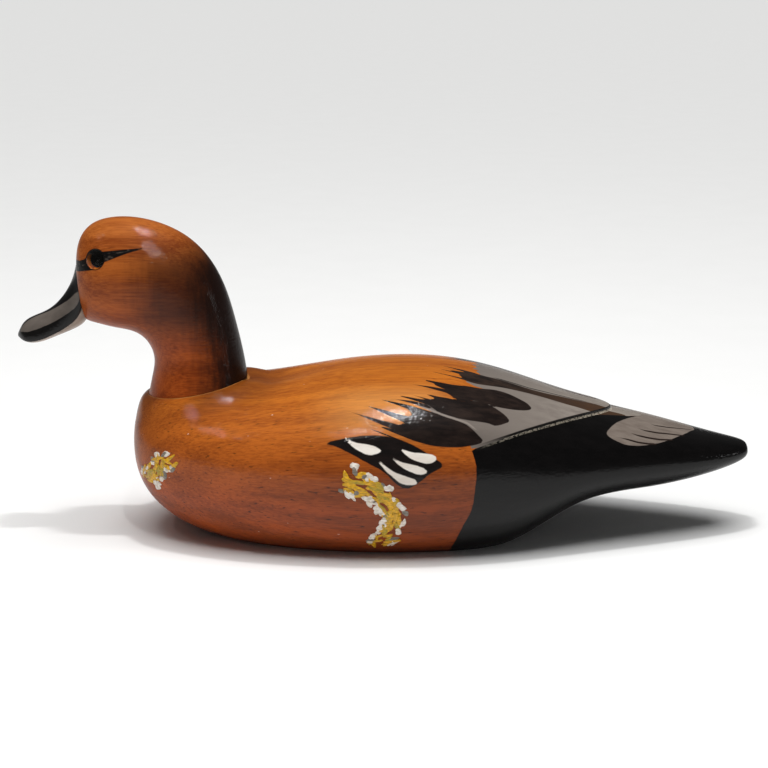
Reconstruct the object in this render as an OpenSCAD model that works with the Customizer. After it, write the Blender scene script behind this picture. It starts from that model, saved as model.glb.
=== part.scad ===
// Hollow carved duck decoy with a turning head, in millimetres.
// The bird rests on its flat bottom at z = 0 and looks along -X. Its left side is at -Y.

/* [Body] */
// Length of the body from breast to tail
body_len = 319.5; // [280:0.5:360]
// Greatest width of the body
body_w = 138; // [120:1:160]
// Height of the back over the flat bottom
body_h = 90; // [80:1:100]
// Thickness of the wood round the hollow
body_wall = 16; // [13:0.5:19]
// Rise of the carved wing tips over the rump
wing_rise = 1.8; // [1:0.1:2.6]
// Depth of the valley between the shoulders
valley_depth = 3.5; // [1:0.5:6]
// Length of the valley behind the neck
valley_len = 48; // [36:1:60]
// Half width of the valley
valley_half = 17; // [13:1:22]

/* [Neck joint] */
// Distance from the breast to the neck axis
seat_setback = 33; // [31:0.5:38]
// Drop of the neck seat below the back
seat_drop = 14; // [11:0.5:17]
// Forward lean of the neck axis in degrees
neck_tilt = 10; // [6:0.5:13]
// Diameter of the round neck at its seat
neck_d = 52; // [46:1:56]
// Depth of the round seat let into the shelf
seat_sink = 0.8; // [0.4:0.1:1.5]
// Running gap under and around the neck
seat_gap = 0.2; // [0.1:0.05:0.4]
// Thickness of the wood under the neck seat
neck_shelf = 22; // [18:0.5:26]
// Diameter of the wooden boss left in the hollow under the neck
boss_d = 34; // [28:1:38]
// Diameter of the hanger bolt
bolt_d = 8; // [6:0.5:9]
// Length of the hanger bolt inside the neck
bolt_grip = 40; // [30:1:46]
// Length of bolt that shows below the lock nut
bolt_tail = 3; // [1:0.5:5]
// Radial clearance of the bolt in its bore through the shelf
bolt_clear = 0.1; // [0.05:0.01:0.2]
// Diameter of the flat washer
washer_d = 24; // [20:1:28]
// Thickness of the flat washer
washer_t = 1.6; // [1:0.1:2.5]
// Diameter of the split spring washer
spring_d = 14.8; // [13.8:0.2:17]
// Thickness of the split spring washer
spring_t = 2; // [1.2:0.1:3]
// Width across the flats of the lock nut
nut_af = 13; // [12:0.5:17]
// Height of the lock nut
nut_h = 7; // [5:0.5:9]

/* [Head] */
// Height of the crown over the neck seat
head_h = 90; // [78:1:102]
// Distance from the neck axis to the root of the bill
head_reach = 48.5; // [43:0.5:54]
// Greatest width of the cheeks
head_w = 45; // [40:0.5:50]

/* [Bill] */
// Length of the bill from its root to its tip
bill_len = 37; // [32:0.5:43]
// Height of the flat face that the bill is glued to
bill_h = 32; // [28:0.5:35]
// Width of the flat face that the bill is glued to
bill_root_w = 22; // [19:0.5:25]
// Greatest width of the bill near its tip
bill_w = 24; // [21:0.5:28]
// Step from the cheeks down to the bill
cheek_inset = 0.8; // [0.4:0.1:1.5]
// Setback of the lower mandible under the upper one
lip_inset = 0.9; // [0.4:0.1:1.5]
// Thickness of the glue line
glue_gap = 0.1; // [0.05:0.05:0.2]
// Diameter of the dowel in the bill
dowel_d = 5; // [4:0.5:6]
// Length of the dowel
dowel_len = 20; // [16:1:24]
// Downward slope of the dowel in degrees
dowel_dip = 30; // [24:1:36]

/* [Eyes] */
// Diameter of the glass eyes
eye_d = 10; // [8:0.5:11]
// Radius of the dome of the glass
eye_dome_r = 7.5; // [6.5:0.5:10]
// Height of the dome's top over the head
eye_proud = 1.4; // [0.8:0.1:2]
// Depth of the back of the glass below the head's surface
eye_depth = 3; // [2.5:0.1:4]
// Thickness of the enamelled iris behind the glass
iris_t = 0.6; // [0.4:0.1:1]
// Diameter of the wire stem
wire_d = 1.2; // [0.8:0.1:1.6]
// Length of the wire stem in the head
wire_len = 11; // [8:0.5:13]
// Gap round the eye in its socket
eye_gap = 0.1; // [0.05:0.05:0.2]

/* [Bottom board] */
// Thickness of the bottom board
board_t = 12; // [11:0.5:14]
// Wood left between the board and the edge of the flat bottom
board_margin = 7; // [5:0.5:9]
// Half width of the board's blunt ends
board_nose = 12; // [9:0.5:14]
// Gap round the board in its rebate
board_gap = 0.2; // [0.1:0.05:0.4]
// Width of the ledge that the board is screwed to
ledge_w = 11; // [9:0.5:13]
// Thickness of the ledge
ledge_t = 10; // [8:0.5:12]
// Diameter of the screws
screw_d = 3.6; // [3:0.1:4.2]
// Diameter of their countersunk heads
screw_head_d = 7; // [6:0.1:8]
// Length of a board screw in the ledge
screw_bite = 8; // [6:0.5:9]
// Depth of the screw heads below the face that they hold
screw_sink = 0.4; // [0.2:0.1:0.8]

/* [Ballast] */
// Length of the ballast bar
ballast_len = 70; // [50:1:76]
// Width of the ballast bar
ballast_w = 28; // [20:1:34]
// Thickness of the ballast bar
ballast_t = 7.5; // [6:0.5:8.5]
// Gap round the bar in its pocket
ballast_gap = 0.3; // [0.1:0.05:0.6]
// Depth of the bar's face below the bottom
ballast_sink = 0.5; // [0.2:0.1:1]
// Rounding of the bar's corners
ballast_round = 4; // [2:0.5:8]
// Wood left over the ends of the ballast screws
ballast_cover = 1; // [0.5:0.1:1.5]

/* [Line tie] */
// Diameter of the ring's wire
ring_wire = 3; // [2.4:0.1:3.4]
// Inner diameter of the ring
ring_in_d = 16; // [13:0.5:18]
// Diameter of the staple's wire
staple_wire = 2.5; // [2:0.1:3]
// Distance between the staple's legs
staple_w = 9; // [8:0.5:10]
// Wood left over the ends of the staple's legs
staple_cover = 0.8; // [0.4:0.1:1.5]
// Height of the staple's crown over the floor
staple_lift = 0.6; // [0.3:0.1:1]
// Play between ring and staple
tie_play = 0.05; // [0.02:0.01:0.1]
// Room round the ring in its recess
tie_room = 1.2; // [0.8:0.1:2]
// Distance from the front of the board to the middle of the recess
tie_setback = 25; // [22:0.5:28]

/* [Smoothness] */
// Rings along the body before the wing tips
body_front_rings = 36; // [24:1:40]
// Rings along the rump and tail
body_rear_rings = 18; // [12:1:22]
// Points round the body
body_sides = 44; // [32:4:48]
// Rings along the head
head_rings = 42; // [28:1:46]
// Points round the head
head_sides = 36; // [24:4:40]
// Rings along the bill
bill_rings = 22; // [14:1:28]

/* [Hidden] */
$fn = 48;
thread_gap = 0.05;
beyond = 40;
middle = 0.5;
oval = 2;

// Lines of the body: station in percent of its length, top, bottom and waist in percent of
// its height, half width in percent of half its width, and roundness above and below.
BODY_LINES = [
    // station, top, bottom, half width, waist, roundness above, below
    [0, 57.5, 50.5, 4, 54.5, 2.0, 2.0],
    [0, 69, 37, 26.5, 52, 2.0, 2.0],
    [2.5, 81, 16.5, 50, 50, 2.1, 2.1],
    [10, 87.5, -1, 72.5, 48, 2.2, 2.1],
    [21.4, 87, -8, 91, 46, 2.2, 2.3],
    [35.8, 98.5, -11, 100, 44, 2.1, 2.4],
    [50.2, 99.5, -11, 97, 44, 2.1, 2.4],
    [61.6, 88, -8, 85, 44, 2.1, 2.4],
    [71.5, 74, 24, 68, 44, 2.0, 2.2],
    [84, 65, 24.5, 48, 44, 2.0, 2.0],
    [94, 54.5, 32.5, 30, 44, 2.0, 2.0],
    [100, 50.5, 40, 13, 45.3, 2.0, 2.0],
    [100, 47.5, 44, 5, 45.7, 2.0, 2.0]];

// Lines of the head from neck to forehead: nape and throat in percent of the reach and the
// height, half width in percent of half the width, and the widest place between them.
HEAD_LINES = [
    // nape x, nape z, throat x, throat z, half width, widest
    [54.5, 13, -46, 10, 100, 50],
    [53, 33, -38, 20, 91, 50],
    [49, 60, -42, 31, 91, 48],
    [26, 86, -55, 38, 96, 45],
    [-25, 102.5, -73, 41, 100, 42],
    [-74, 105, -89, 45, 89, 42],
    [-94, 94, -98, 47, 62, 42]];
face_share = 0.66;
face_lean = 0.7;
face_widest = 0.45;

// Lines of the bill from its root: station in percent of its length, ridge and underside in
// percent of its root's height, half width in percent of half its width, and roundness.
BILL_LINES = [
    // station, ridge, underside, half width, widest, roundness above, below
    [10, 17, -57, 84, 40, 2.0, 2.0],
    [30, -8, -63, 80, 35, 2.0, 2.2],
    [50, -23, -67, 88, 30, 2.0, 2.4],
    [69, -28, -72, 100, 30, 2.0, 2.4],
    [90, -33, -70, 92, 30, 2.0, 2.4],
    [100, -50, -58, 34, 40, 2.0, 2.0]];
bill_tip_share = -0.54;
mouth_angle = 118;
lip_most = 0.2;
bill_upper_sides = 9;
bill_lower_sides = 6;

// The bill and the tail end equally far from the origin.
face_z = face_share * head_h;
bill_tip_z = face_z + bill_tip_share * bill_h;
bill_ahead = (head_reach + bill_len) * cos(neck_tilt) + bill_tip_z * sin(neck_tilt);
tail_x = (body_len + bill_ahead - seat_setback) / 2;
breast_x = tail_x - body_len;
seat_x = breast_x + seat_setback;
seat_z = body_h - seat_drop;

// The shelf that carries the neck fairs into the shoulders over this band.
seat_flat_r = neck_d / 2 + 3;
seat_fair_r = neck_d / 2 + 15;
seat_fair_h = 12;

// The edge of the wing tips, as a place between breast (0) and tail (1) and an angle from the back.
wing_root = 0.527;
wing_tip = 0.706;
wing_low = 68;
wing_curve = 1.7;
wing_fade = 0.257;
wing_soften = 14;
wing_ring = 0.605;
warp_from = 0.257;
warp_to = 0.89;
step_run = 0.003;

// The hollow ends in front just ahead of the neck's washer, and behind at a place towards the tail.
washer_room = 1;
hollow_front_x = seat_x + neck_shelf * sin(neck_tilt) - washer_d / 2 * cos(neck_tilt) - washer_room;
hollow_rear = 0.605;
hollow_rings = 14;
hollow_sides = 24;
hollow_round = 2.2;
ledge_top = board_t + ledge_t;
opening_rise = 12;

// Places between breast and tail before, at and behind the flat bottom.
flat_before = 0.18;
flat_middle = 0.41;
flat_behind = 0.7;
outline_steps = 20;
side_screw_places = [0.32, 0.55, 0.78];

nut_gap = 0.1;
nut_sides = 6;
nut_z = -neck_shelf - washer_t - spring_t - nut_gap - nut_h;
washer_bore = bolt_d / 2 + 2 * bolt_clear;
spring_slit = 1.2;

eye_place = 0.743;
eye_angle = 63;
eye_cut = 10;
probe = 0.01;
dowel_share = 0.16;
dowel_drop = dowel_share * bill_h;

ring_r = (ring_in_d + ring_wire) / 2;
ring_pivot_z = staple_lift + staple_wire + ring_wire / 2 + tie_play;
ring_rest = asin((ring_pivot_z - ring_wire / 2 - tie_play) / (2 * ring_r));
tie_depth = ring_pivot_z + ring_wire / 2 + tie_room;
tie_front = staple_w / 2 + staple_wire / 2 + 2 * tie_room;
tie_rear = 2 * ring_r + ring_wire / 2 + tie_room;
tie_r = (tie_front + tie_rear) / 2;

screw_head_t = (screw_head_d - screw_d) / 2;
screw_tip = 3;
screw_end_r = 0.45;
slot_w = 0.9;
slot_t = 0.7;
ballast_screw_spread = 0.3;

function smooth(v) = let (s = min(max(v, 0), 1)) s * s * (3 - 2 * s);
function unit(v) = v / norm(v);

// A cubic B-spline along a list of rows. A mirrored row past each end makes it start and end on them.
function padded(rows) = concat([2 * rows[0] - rows[1]], rows,
                               [2 * rows[len(rows) - 1] - rows[len(rows) - 2]]);
function basis(f) = [pow(1 - f, 3), 3 * pow(f, 3) - 6 * f * f + 4,
                     -3 * pow(f, 3) + 3 * f * f + 3 * f + 1, pow(f, 3)] / 6;
function row_at(rows, t) =
    let (spans = len(rows) - 3, s = min(max(t, 0), 1) * spans, i = min(floor(s), spans - 1))
    basis(s - i) * [rows[i], rows[i + 1], rows[i + 2], rows[i + 3]];

// A row is outer x, z, inner x, z, half width, widest place, roundness outside and inside.
// Angle 0 lies on the outer line and 180 on the inner one. Positive angles are the bird's left.
function section_height(r, a) =
    cos(a) >= 0 ? r[5] + (1 - r[5]) * pow(cos(a), 2 / r[6]) : r[5] * (1 - pow(-cos(a), 2 / r[7]));
function section_side(r, a) =
    -sign(sin(a)) * r[4] * pow(abs(sin(a)), 2 / (cos(a) >= 0 ? r[6] : r[7]));
function section_point(r, a) =
    let (k = section_height(r, a))
    [r[2] + (r[0] - r[2]) * k, section_side(r, a), r[3] + (r[1] - r[3]) * k];

body_rows = padded([for (r = BODY_LINES)
    let (x = breast_x + r[0] * body_len / 100)
    [x, r[1] * body_h / 100, x, r[2] * body_h / 100, r[3] * body_w / 200,
     (r[4] - r[2]) / (r[1] - r[2]), r[5], r[6]]]);

neck_row = [neck_d / 2, seat_gap, -neck_d / 2, seat_gap, neck_d / 2, middle, oval, oval];
face_row = [face_lean - head_reach, face_z + bill_h / 2, -face_lean - head_reach,
            face_z - bill_h / 2, bill_root_w / 2, face_widest, oval, oval];
head_rows = padded(concat([neck_row],
    [for (r = HEAD_LINES) [r[0] * head_reach / 100, r[1] * head_h / 100, r[2] * head_reach / 100,
                           r[3] * head_h / 100, r[4] * head_w / 200, r[5] / 100, oval, oval]],
    [face_row]));

root_row = face_row + [-glue_gap, -cheek_inset, -glue_gap, cheek_inset, -cheek_inset, 0, 0, 0];
bill_rows = padded(concat([root_row], [for (r = BILL_LINES)
    let (x = -head_reach - r[0] * bill_len / 100)
    [x, face_z + r[1] * bill_h / 100, x, face_z + r[2] * bill_h / 100, r[3] * bill_w / 200,
     r[4] / 100, r[5], r[6]]]));

// Height of the carved wing at an angle from the back, and where its edge lies.
function wing_edge(a) =
    wing_root + (wing_tip - wing_root) * (1 - pow(min(abs(a), wing_low) / wing_low, wing_curve));
function wing_height(t, a) =
    wing_rise * smooth((wing_low - abs(a)) / wing_soften) * smooth(1 - (wing_edge(a) - t) / wing_fade);
function warped(u, a) =
    u + (wing_edge(a) - wing_ring)
      * max(0, min((u - warp_from) / (wing_ring - warp_from), (warp_to - u) / (warp_to - wing_ring)));

// A point of the carved body: the plain section, then the neck shelf, the valley and the wing.
function shelf_lift(p) =
    let (drop = seat_z + seat_sink + (p.x - seat_x) * tan(neck_tilt) - p.z,
         away = norm([p.x - seat_x, p.y]))
    drop * smooth((seat_fair_r - away) / (seat_fair_r - seat_flat_r))
         * smooth(1 - abs(drop) / seat_fair_h);
function valley_dip(p) =
    let (behind = p.x - seat_x - neck_d / 2)
    valley_depth * smooth(1 - behind / valley_len) * smooth(1 + behind / (neck_d / 2))
                 * smooth(1 - abs(p.y) / valley_half);
function body_point(u, turn, on_wing) =
    let (a = turn > 180 ? turn - 360 : turn,
         t = warped(u, a),
         r = row_at(body_rows, t),
         plain = section_point(r, a),
         top = cos(a) > 0 ? 1 : 0,
         dipped = plain - [0, 0, top * valley_dip(plain)],
         set = dipped + [0, 0, top * shelf_lift(dipped)],
         out = unit([0, sin(-a), cos(a)]))
    on_wing ? set + wing_height(t, a) * out : set;
body_rings = concat(
    [for (i = [0:body_front_rings])
        [for (j = [0:body_sides - 1])
            body_point(wing_ring * i / body_front_rings, 360 * j / body_sides, true)]],
    [for (i = [0:body_rear_rings])
        [for (j = [0:body_sides - 1])
            body_point(wing_ring + step_run + (1 - wing_ring - step_run) * i / body_rear_rings,
                       360 * j / body_sides, false)]]);

function plain_rings(rows, rings, sides) =
    [for (i = [0:rings]) let (r = row_at(rows, i / rings))
        [for (j = [0:sides - 1]) section_point(r, 360 * j / sides)]];

// The lower mandible steps in under the upper one along the mouth.
function bill_half() = concat(
    [for (k = [0:bill_upper_sides]) [mouth_angle * k / bill_upper_sides, 0]],
    [for (k = [0:bill_lower_sides]) [mouth_angle + (180 - mouth_angle) * k / bill_lower_sides, 1]]);
function bill_turns() = let (h = bill_half())
    concat(h, [for (k = [len(h) - 2:-1:1]) [-h[k][0], h[k][1]]]);
function bill_point(r, turn) =
    let (p = section_point(r, turn[0]), in = min(lip_inset / r[4], lip_most) * turn[1])
    [p.x, p.y * (1 - in), p.z];
bill_mesh = [for (i = [0:bill_rings]) let (r = row_at(bill_rows, i / bill_rings))
    [for (turn = bill_turns()) bill_point(r, turn)]];

// The place between breast and tail that lies at a distance along the body.
function place_at(x, low = 0, high = 1, steps = 20) =
    steps == 0 ? low :
    let (halfway = (low + high) / 2)
    row_at(body_rows, halfway)[0] < x ? place_at(x, halfway, high, steps - 1)
                                      : place_at(x, low, halfway, steps - 1);
hollow_front = place_at(hollow_front_x);
hollow_mesh = [for (i = [0:hollow_rings])
    let (r = row_at(body_rows, hollow_front + (hollow_rear - hollow_front) * i / hollow_rings),
         inset = [r[0], r[1] - body_wall, r[0], ledge_top, r[4] - body_wall,
                  middle, hollow_round, hollow_round])
    [for (j = [0:hollow_sides - 1]) section_point(inset, 360 * j / hollow_sides)]];

// Half width of the flat bottom at a place along the body, and the place where it reaches a goal.
function flat_half(t) =
    let (r = row_at(body_rows, t))
    r[3] >= 0 ? 0 :
    let (c = pow(1 + r[3] / (r[1] - r[3]) / r[5], r[7] / 2)) r[4] * pow(1 - c * c, 1 / r[7]);
function flat_end(outside, inside, goal, steps = 20) =
    steps == 0 ? inside :
    let (middle = (outside + inside) / 2)
    flat_half(middle) < goal ? flat_end(middle, inside, goal, steps - 1)
                             : flat_end(outside, middle, goal, steps - 1);
function flat_x(t) = row_at(body_rows, t)[0];
function flat_span(margin) = [flat_end(flat_before, flat_middle, margin + board_nose),
                              flat_end(flat_behind, flat_middle, margin + board_nose)];
function flat_outline(margin) =
    let (span = flat_span(margin),
         side = [for (k = [0:outline_steps])
             let (t = span[0] + (span[1] - span[0]) * k / outline_steps)
             [flat_x(t), flat_half(t) - margin]])
    concat(side, [for (k = [outline_steps:-1:0]) [side[k].x, -side[k].y]]);

board_span = flat_span(board_margin);
board_front = flat_x(board_span[0]);
board_rear = flat_x(board_span[1]);
tie_x = board_front + tie_setback;
staple_x = tie_x + tie_r - tie_rear;
ballast_x = (tie_x + tie_r + board_rear - ledge_w) / 2;
screw_inset = board_margin + ledge_w / 2;
board_screw_places = concat(
    [[board_front + ledge_w / 2, 0], [board_rear - ledge_w / 2, 0]],
    [for (side = [-1, 1], f = side_screw_places)
        let (t = board_span[0] + (board_span[1] - board_span[0]) * f)
        [flat_x(t), side * (flat_half(t) - screw_inset)]]);
board_screw_len = board_t + screw_bite - screw_sink;
ballast_screw_out = ballast_screw_spread * ballast_len;
ballast_screw_places = [for (side = [-1, 1]) [ballast_x + side * ballast_screw_out, 0]];
ballast_screw_z = ballast_sink + screw_sink;
ballast_screw_len = board_t - ballast_cover - ballast_screw_z;

// Closed skin over a list of rings that each have as many points.
module skin(rings) {
    m = len(rings[0]);
    last = (len(rings) - 1) * m;
    polyhedron(
        points = [for (ring = rings) each ring],
        faces = concat(
            [[for (j = [0:m - 1]) j]],
            [[for (j = [m - 1:-1:0]) last + j]],
            [for (i = [0:len(rings) - 2], j = [0:m - 1])
                let (a = i * m + j, b = i * m + (j + 1) % m) each [[a, a + m, b + m], [a, b + m, b]]]),
        convexity = 8);
}

module on_neck() {
    translate([seat_x, 0, seat_z])
        rotate([0, -neck_tilt, 0])
            children();
}

module on_dowel() {
    on_neck()
        translate([-head_reach, 0, face_z - dowel_drop])
            rotate([0, -90 - dowel_dip, 0])
                children();
}

// The frame of an eye: z points out of the head. Side 1 is the bird's left, -1 its right.
module on_eye(side) {
    function at(t, a) = section_point(row_at(head_rows, t), side * a);
    along = at(eye_place + probe, eye_angle) - at(eye_place - probe, eye_angle);
    around = at(eye_place, eye_angle + 1) - at(eye_place, eye_angle - 1);
    out = unit(side * cross(along, around));
    on_neck()
        translate(at(eye_place, eye_angle))
            rotate([0, acos(out.z), atan2(out.y, out.x)])
                children();
}

// A countersunk screw that points up, with its head's face at z = 0.
module screw(length) {
    difference() {
        rotate_extrude()
            polygon([[0, 0], [screw_head_d / 2, 0], [screw_d / 2, screw_head_t],
                     [screw_d / 2, length - screw_tip], [screw_end_r, length], [0, length]]);
        translate([-screw_head_d, -slot_w / 2, -slot_t])
            cube([2 * screw_head_d, slot_w, 2 * slot_t]);
    }
}

module screw_hole(length) {
    head_r = screw_head_d / 2 + thread_gap;
    shank_r = screw_d / 2 + thread_gap;
    rotate_extrude()
        polygon([[0, -beyond], [head_r, -beyond], [head_r, 0], [shank_r, screw_head_t],
                 [shank_r, length + thread_gap], [0, length + thread_gap]]);
}

module board_screw_set() {
    for (place = board_screw_places)
        translate([place.x, place.y, screw_sink])
            children();
}

module ballast_screw_set() {
    for (place = ballast_screw_places)
        translate([place.x, place.y, ballast_screw_z])
            children();
}

module ballast_plan(gap) {
    reach = ballast_len / 2 - ballast_round;
    spread = ballast_w / 2 - ballast_round;
    translate([ballast_x, 0]) {
        square([ballast_len + 2 * gap, 2 * spread], center = true);
        square([2 * reach, ballast_w + 2 * gap], center = true);
        for (x = [-reach, reach], y = [-spread, spread])
            translate([x, y])
                circle(r = ballast_round + gap);
    }
}

module staple_path(wire) {
    crown_z = staple_lift + staple_wire / 2 + staple_w / 2;
    leg = board_t - staple_cover - crown_z;
    translate([staple_x, 0, crown_z]) {
        rotate([-90, 0, 0])
            rotate_extrude(angle = 180)
                translate([staple_w / 2, 0])
                    circle(d = wire);
        for (side = [-1, 1])
            translate([side * staple_w / 2, 0, 0])
                cylinder(d = wire, h = leg);
    }
}

module hollow() {
    difference() {
        skin(hollow_mesh);
        on_neck()
            translate([0, 0, -neck_shelf])
                cylinder(d = boss_d, h = neck_shelf + beyond);
    }
}

module body_shell() {
    color("#9c6a3c")
        difference() {
            skin(body_rings);
            translate([-body_len, -body_w, -body_h])
                cube([2 * body_len, 2 * body_w, body_h]);
            on_neck()
                cylinder(r = neck_d / 2 + seat_gap, h = beyond);
            on_neck()
                translate([0, 0, -neck_shelf - washer_t])
                    cylinder(r = bolt_d / 2 + bolt_clear, h = neck_shelf + washer_t + beyond);
            hollow();
            translate([0, 0, -beyond])
                linear_extrude(beyond + board_t)
                    polygon(flat_outline(board_margin - board_gap));
            linear_extrude(ledge_top + opening_rise)
                polygon(flat_outline(board_margin + ledge_w));
            board_screw_set()
                screw_hole(board_screw_len);
        }
}

module bottom_board() {
    color("#a8794a")
        difference() {
            linear_extrude(board_t)
                polygon(flat_outline(board_margin));
            translate([tie_x, 0, -beyond])
                cylinder(r = tie_r, h = beyond + tie_depth);
            staple_path(staple_wire + 2 * thread_gap);
            translate([0, 0, -beyond])
                linear_extrude(beyond + ballast_sink + ballast_t)
                    ballast_plan(ballast_gap);
            board_screw_set()
                screw_hole(board_screw_len);
            ballast_screw_set()
                screw_hole(ballast_screw_len);
        }
}

module board_screws() {
    color("#c9a24a")
        board_screw_set()
            screw(board_screw_len);
}

module ballast_weight() {
    color("#77797c")
        difference() {
            translate([0, 0, ballast_sink])
                linear_extrude(ballast_t)
                    ballast_plan(0);
            ballast_screw_set()
                screw_hole(ballast_screw_len);
        }
}

module ballast_screws() {
    color("#c9a24a")
        ballast_screw_set()
            screw(ballast_screw_len);
}

module line_staple() {
    color("#c9a24a")
        staple_path(staple_wire);
}

module line_ring() {
    color("#c9a24a")
        translate([staple_x, 0, ring_pivot_z])
            rotate([0, ring_rest, 0])
                translate([ring_r, 0, 0])
                    rotate_extrude()
                        translate([ring_r, 0])
                            circle(d = ring_wire);
}

module head() {
    color("#8f5c34")
        difference() {
            on_neck()
                skin(plain_rings(head_rows, head_rings, head_sides));
            on_neck()
                translate([0, 0, -beyond])
                    cylinder(r = bolt_d / 2 + thread_gap, h = beyond + bolt_grip + thread_gap);
            on_dowel()
                cylinder(r = dowel_d / 2 + thread_gap, h = dowel_len + 2 * thread_gap, center = true);
            for (side = [-1, 1])
                on_eye(side) {
                    translate([0, 0, -eye_depth - iris_t])
                        cylinder(r = eye_d / 2 + eye_gap, h = eye_cut);
                    translate([0, 0, -eye_depth - iris_t - wire_len - thread_gap])
                        cylinder(r = wire_d / 2 + thread_gap, h = wire_len + eye_d / 2);
                }
        }
}

module bill() {
    color("#2b2a2a")
        difference() {
            on_neck()
                skin(bill_mesh);
            on_dowel()
                cylinder(r = dowel_d / 2 + thread_gap, h = dowel_len + 2 * thread_gap, center = true);
        }
}

module bill_dowel() {
    color("#c8a272")
        on_dowel()
            cylinder(d = dowel_d, h = dowel_len, center = true);
}

module eye_glass(side) {
    color("#b9864f")
        on_eye(side)
            intersection() {
                translate([0, 0, -eye_depth])
                    cylinder(d = eye_d, h = eye_depth + eye_cut);
                translate([0, 0, eye_proud - eye_dome_r])
                    sphere(r = eye_dome_r);
            }
}

module eye_glass_left() {
    eye_glass(1);
}

module eye_glass_right() {
    eye_glass(-1);
}

module eye_iris(side) {
    color("#c9742a")
        on_eye(side)
            translate([0, 0, -eye_depth - iris_t])
                cylinder(d = eye_d, h = iris_t);
}

module eye_iris_left() {
    eye_iris(1);
}

module eye_iris_right() {
    eye_iris(-1);
}

module eye_wires() {
    color("#8a8a88")
        for (side = [-1, 1])
            on_eye(side)
                translate([0, 0, -eye_depth - iris_t - wire_len])
                    cylinder(d = wire_d, h = wire_len);
}

module neck_bolt() {
    color("#a9abae")
        on_neck()
            translate([0, 0, nut_z - bolt_tail])
                cylinder(d = bolt_d, h = bolt_grip + bolt_tail - nut_z);
}

module neck_washer() {
    color("#b4b6b8")
        on_neck()
            translate([0, 0, -neck_shelf - washer_t])
                difference() {
                    cylinder(d = washer_d, h = washer_t);
                    translate([0, 0, -washer_t])
                        cylinder(r = washer_bore, h = 3 * washer_t);
                }
}

module spring_washer() {
    color("#8f9194")
        on_neck()
            translate([0, 0, -neck_shelf - washer_t - spring_t])
                difference() {
                    cylinder(d = spring_d, h = spring_t);
                    translate([0, 0, -spring_t])
                        cylinder(r = washer_bore, h = 3 * spring_t);
                    translate([0, -spring_slit / 2, -spring_t])
                        cube([spring_d, spring_slit, 3 * spring_t]);
                }
}

module lock_nut() {
    color("#a9abae")
        on_neck()
            translate([0, 0, nut_z])
                difference() {
                    cylinder(d = nut_af / cos(180 / nut_sides), h = nut_h, $fn = nut_sides);
                    translate([0, 0, -nut_h])
                        cylinder(r = bolt_d / 2 + thread_gap, h = 3 * nut_h);
                }
}

body_shell();
bottom_board();
board_screws();
ballast_weight();
ballast_screws();
line_staple();
line_ring();
head();
bill();
bill_dowel();
eye_glass_left();
eye_glass_right();
eye_iris_left();
eye_iris_right();
eye_wires();
neck_bolt();
neck_washer();
spring_washer();
lock_nut();
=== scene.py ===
"""A hollow carved duck decoy with a turning head and painted plumage, on a pale studio floor.

Lofts and paint are set out in millimetres in the model's own frame: the bill points to -X and +Z is up.
"""

import math
from contextlib import contextmanager

import bmesh
import bpy
import numpy as np
from mathutils import Matrix, Vector, noise


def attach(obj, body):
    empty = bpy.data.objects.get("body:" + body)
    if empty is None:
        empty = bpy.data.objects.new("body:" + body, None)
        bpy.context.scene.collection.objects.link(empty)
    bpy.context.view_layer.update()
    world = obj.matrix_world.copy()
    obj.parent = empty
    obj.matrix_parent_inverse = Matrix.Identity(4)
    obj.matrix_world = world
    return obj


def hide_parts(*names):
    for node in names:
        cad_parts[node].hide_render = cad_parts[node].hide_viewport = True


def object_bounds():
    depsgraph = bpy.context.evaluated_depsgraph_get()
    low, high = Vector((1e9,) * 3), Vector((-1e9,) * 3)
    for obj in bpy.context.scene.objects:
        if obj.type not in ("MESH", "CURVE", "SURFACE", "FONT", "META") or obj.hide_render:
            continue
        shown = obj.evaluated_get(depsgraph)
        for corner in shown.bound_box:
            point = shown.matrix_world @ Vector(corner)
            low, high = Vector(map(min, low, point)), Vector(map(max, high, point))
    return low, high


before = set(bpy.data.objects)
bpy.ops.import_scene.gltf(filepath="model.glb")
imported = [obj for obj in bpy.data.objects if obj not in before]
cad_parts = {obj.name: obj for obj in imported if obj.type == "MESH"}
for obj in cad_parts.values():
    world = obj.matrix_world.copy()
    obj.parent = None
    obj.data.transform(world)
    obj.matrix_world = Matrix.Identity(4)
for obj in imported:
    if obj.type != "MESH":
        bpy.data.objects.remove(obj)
cad_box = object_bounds()

MM = 0.001
# How close points are merged and planes cut, the sides of round cutters, and the angle of a sharp edge.
WELD, TINY, PEG_SIDES, CREASE = 0.002 * MM, 1e-7, 128, 38

# Body loft. Columns: station along the length, top, bottom, half width and waist in percent,
# then the roundness of the section above and below the waist.
BODY_LENGTH, BODY_WIDTH, BODY_HEIGHT = 319.5, 138.0, 90.0
BREAST_X = -130.492
BODY_LINES = (
    (0, 57.5, 50.5, 4, 54.5, 2, 2),
    (0, 69, 37, 26.5, 52, 2, 2),
    (2.5, 81, 16.5, 50, 50, 2.1, 2.1),
    (10, 87.5, -1, 72.5, 48, 2.2, 2.1),
    (21.4, 87, -8, 91, 46, 2.2, 2.3),
    (35.8, 98.5, -11, 100, 44, 2.1, 2.4),
    (50.2, 99.5, -11, 97, 44, 2.1, 2.4),
    (61.6, 88, -8, 85, 44, 2.1, 2.4),
    (71.5, 74, 24, 68, 44, 2, 2.2),
    (84, 65, 24.5, 48, 44, 2, 2),
    (94, 54.5, 32.5, 30, 44, 2, 2),
    (100, 50.5, 40, 13, 45.3, 2, 2),
    (100, 47.5, 44, 5, 45.7, 2, 2),
)
BODY_RINGS, BODY_SIDES = 290, 284

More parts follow.
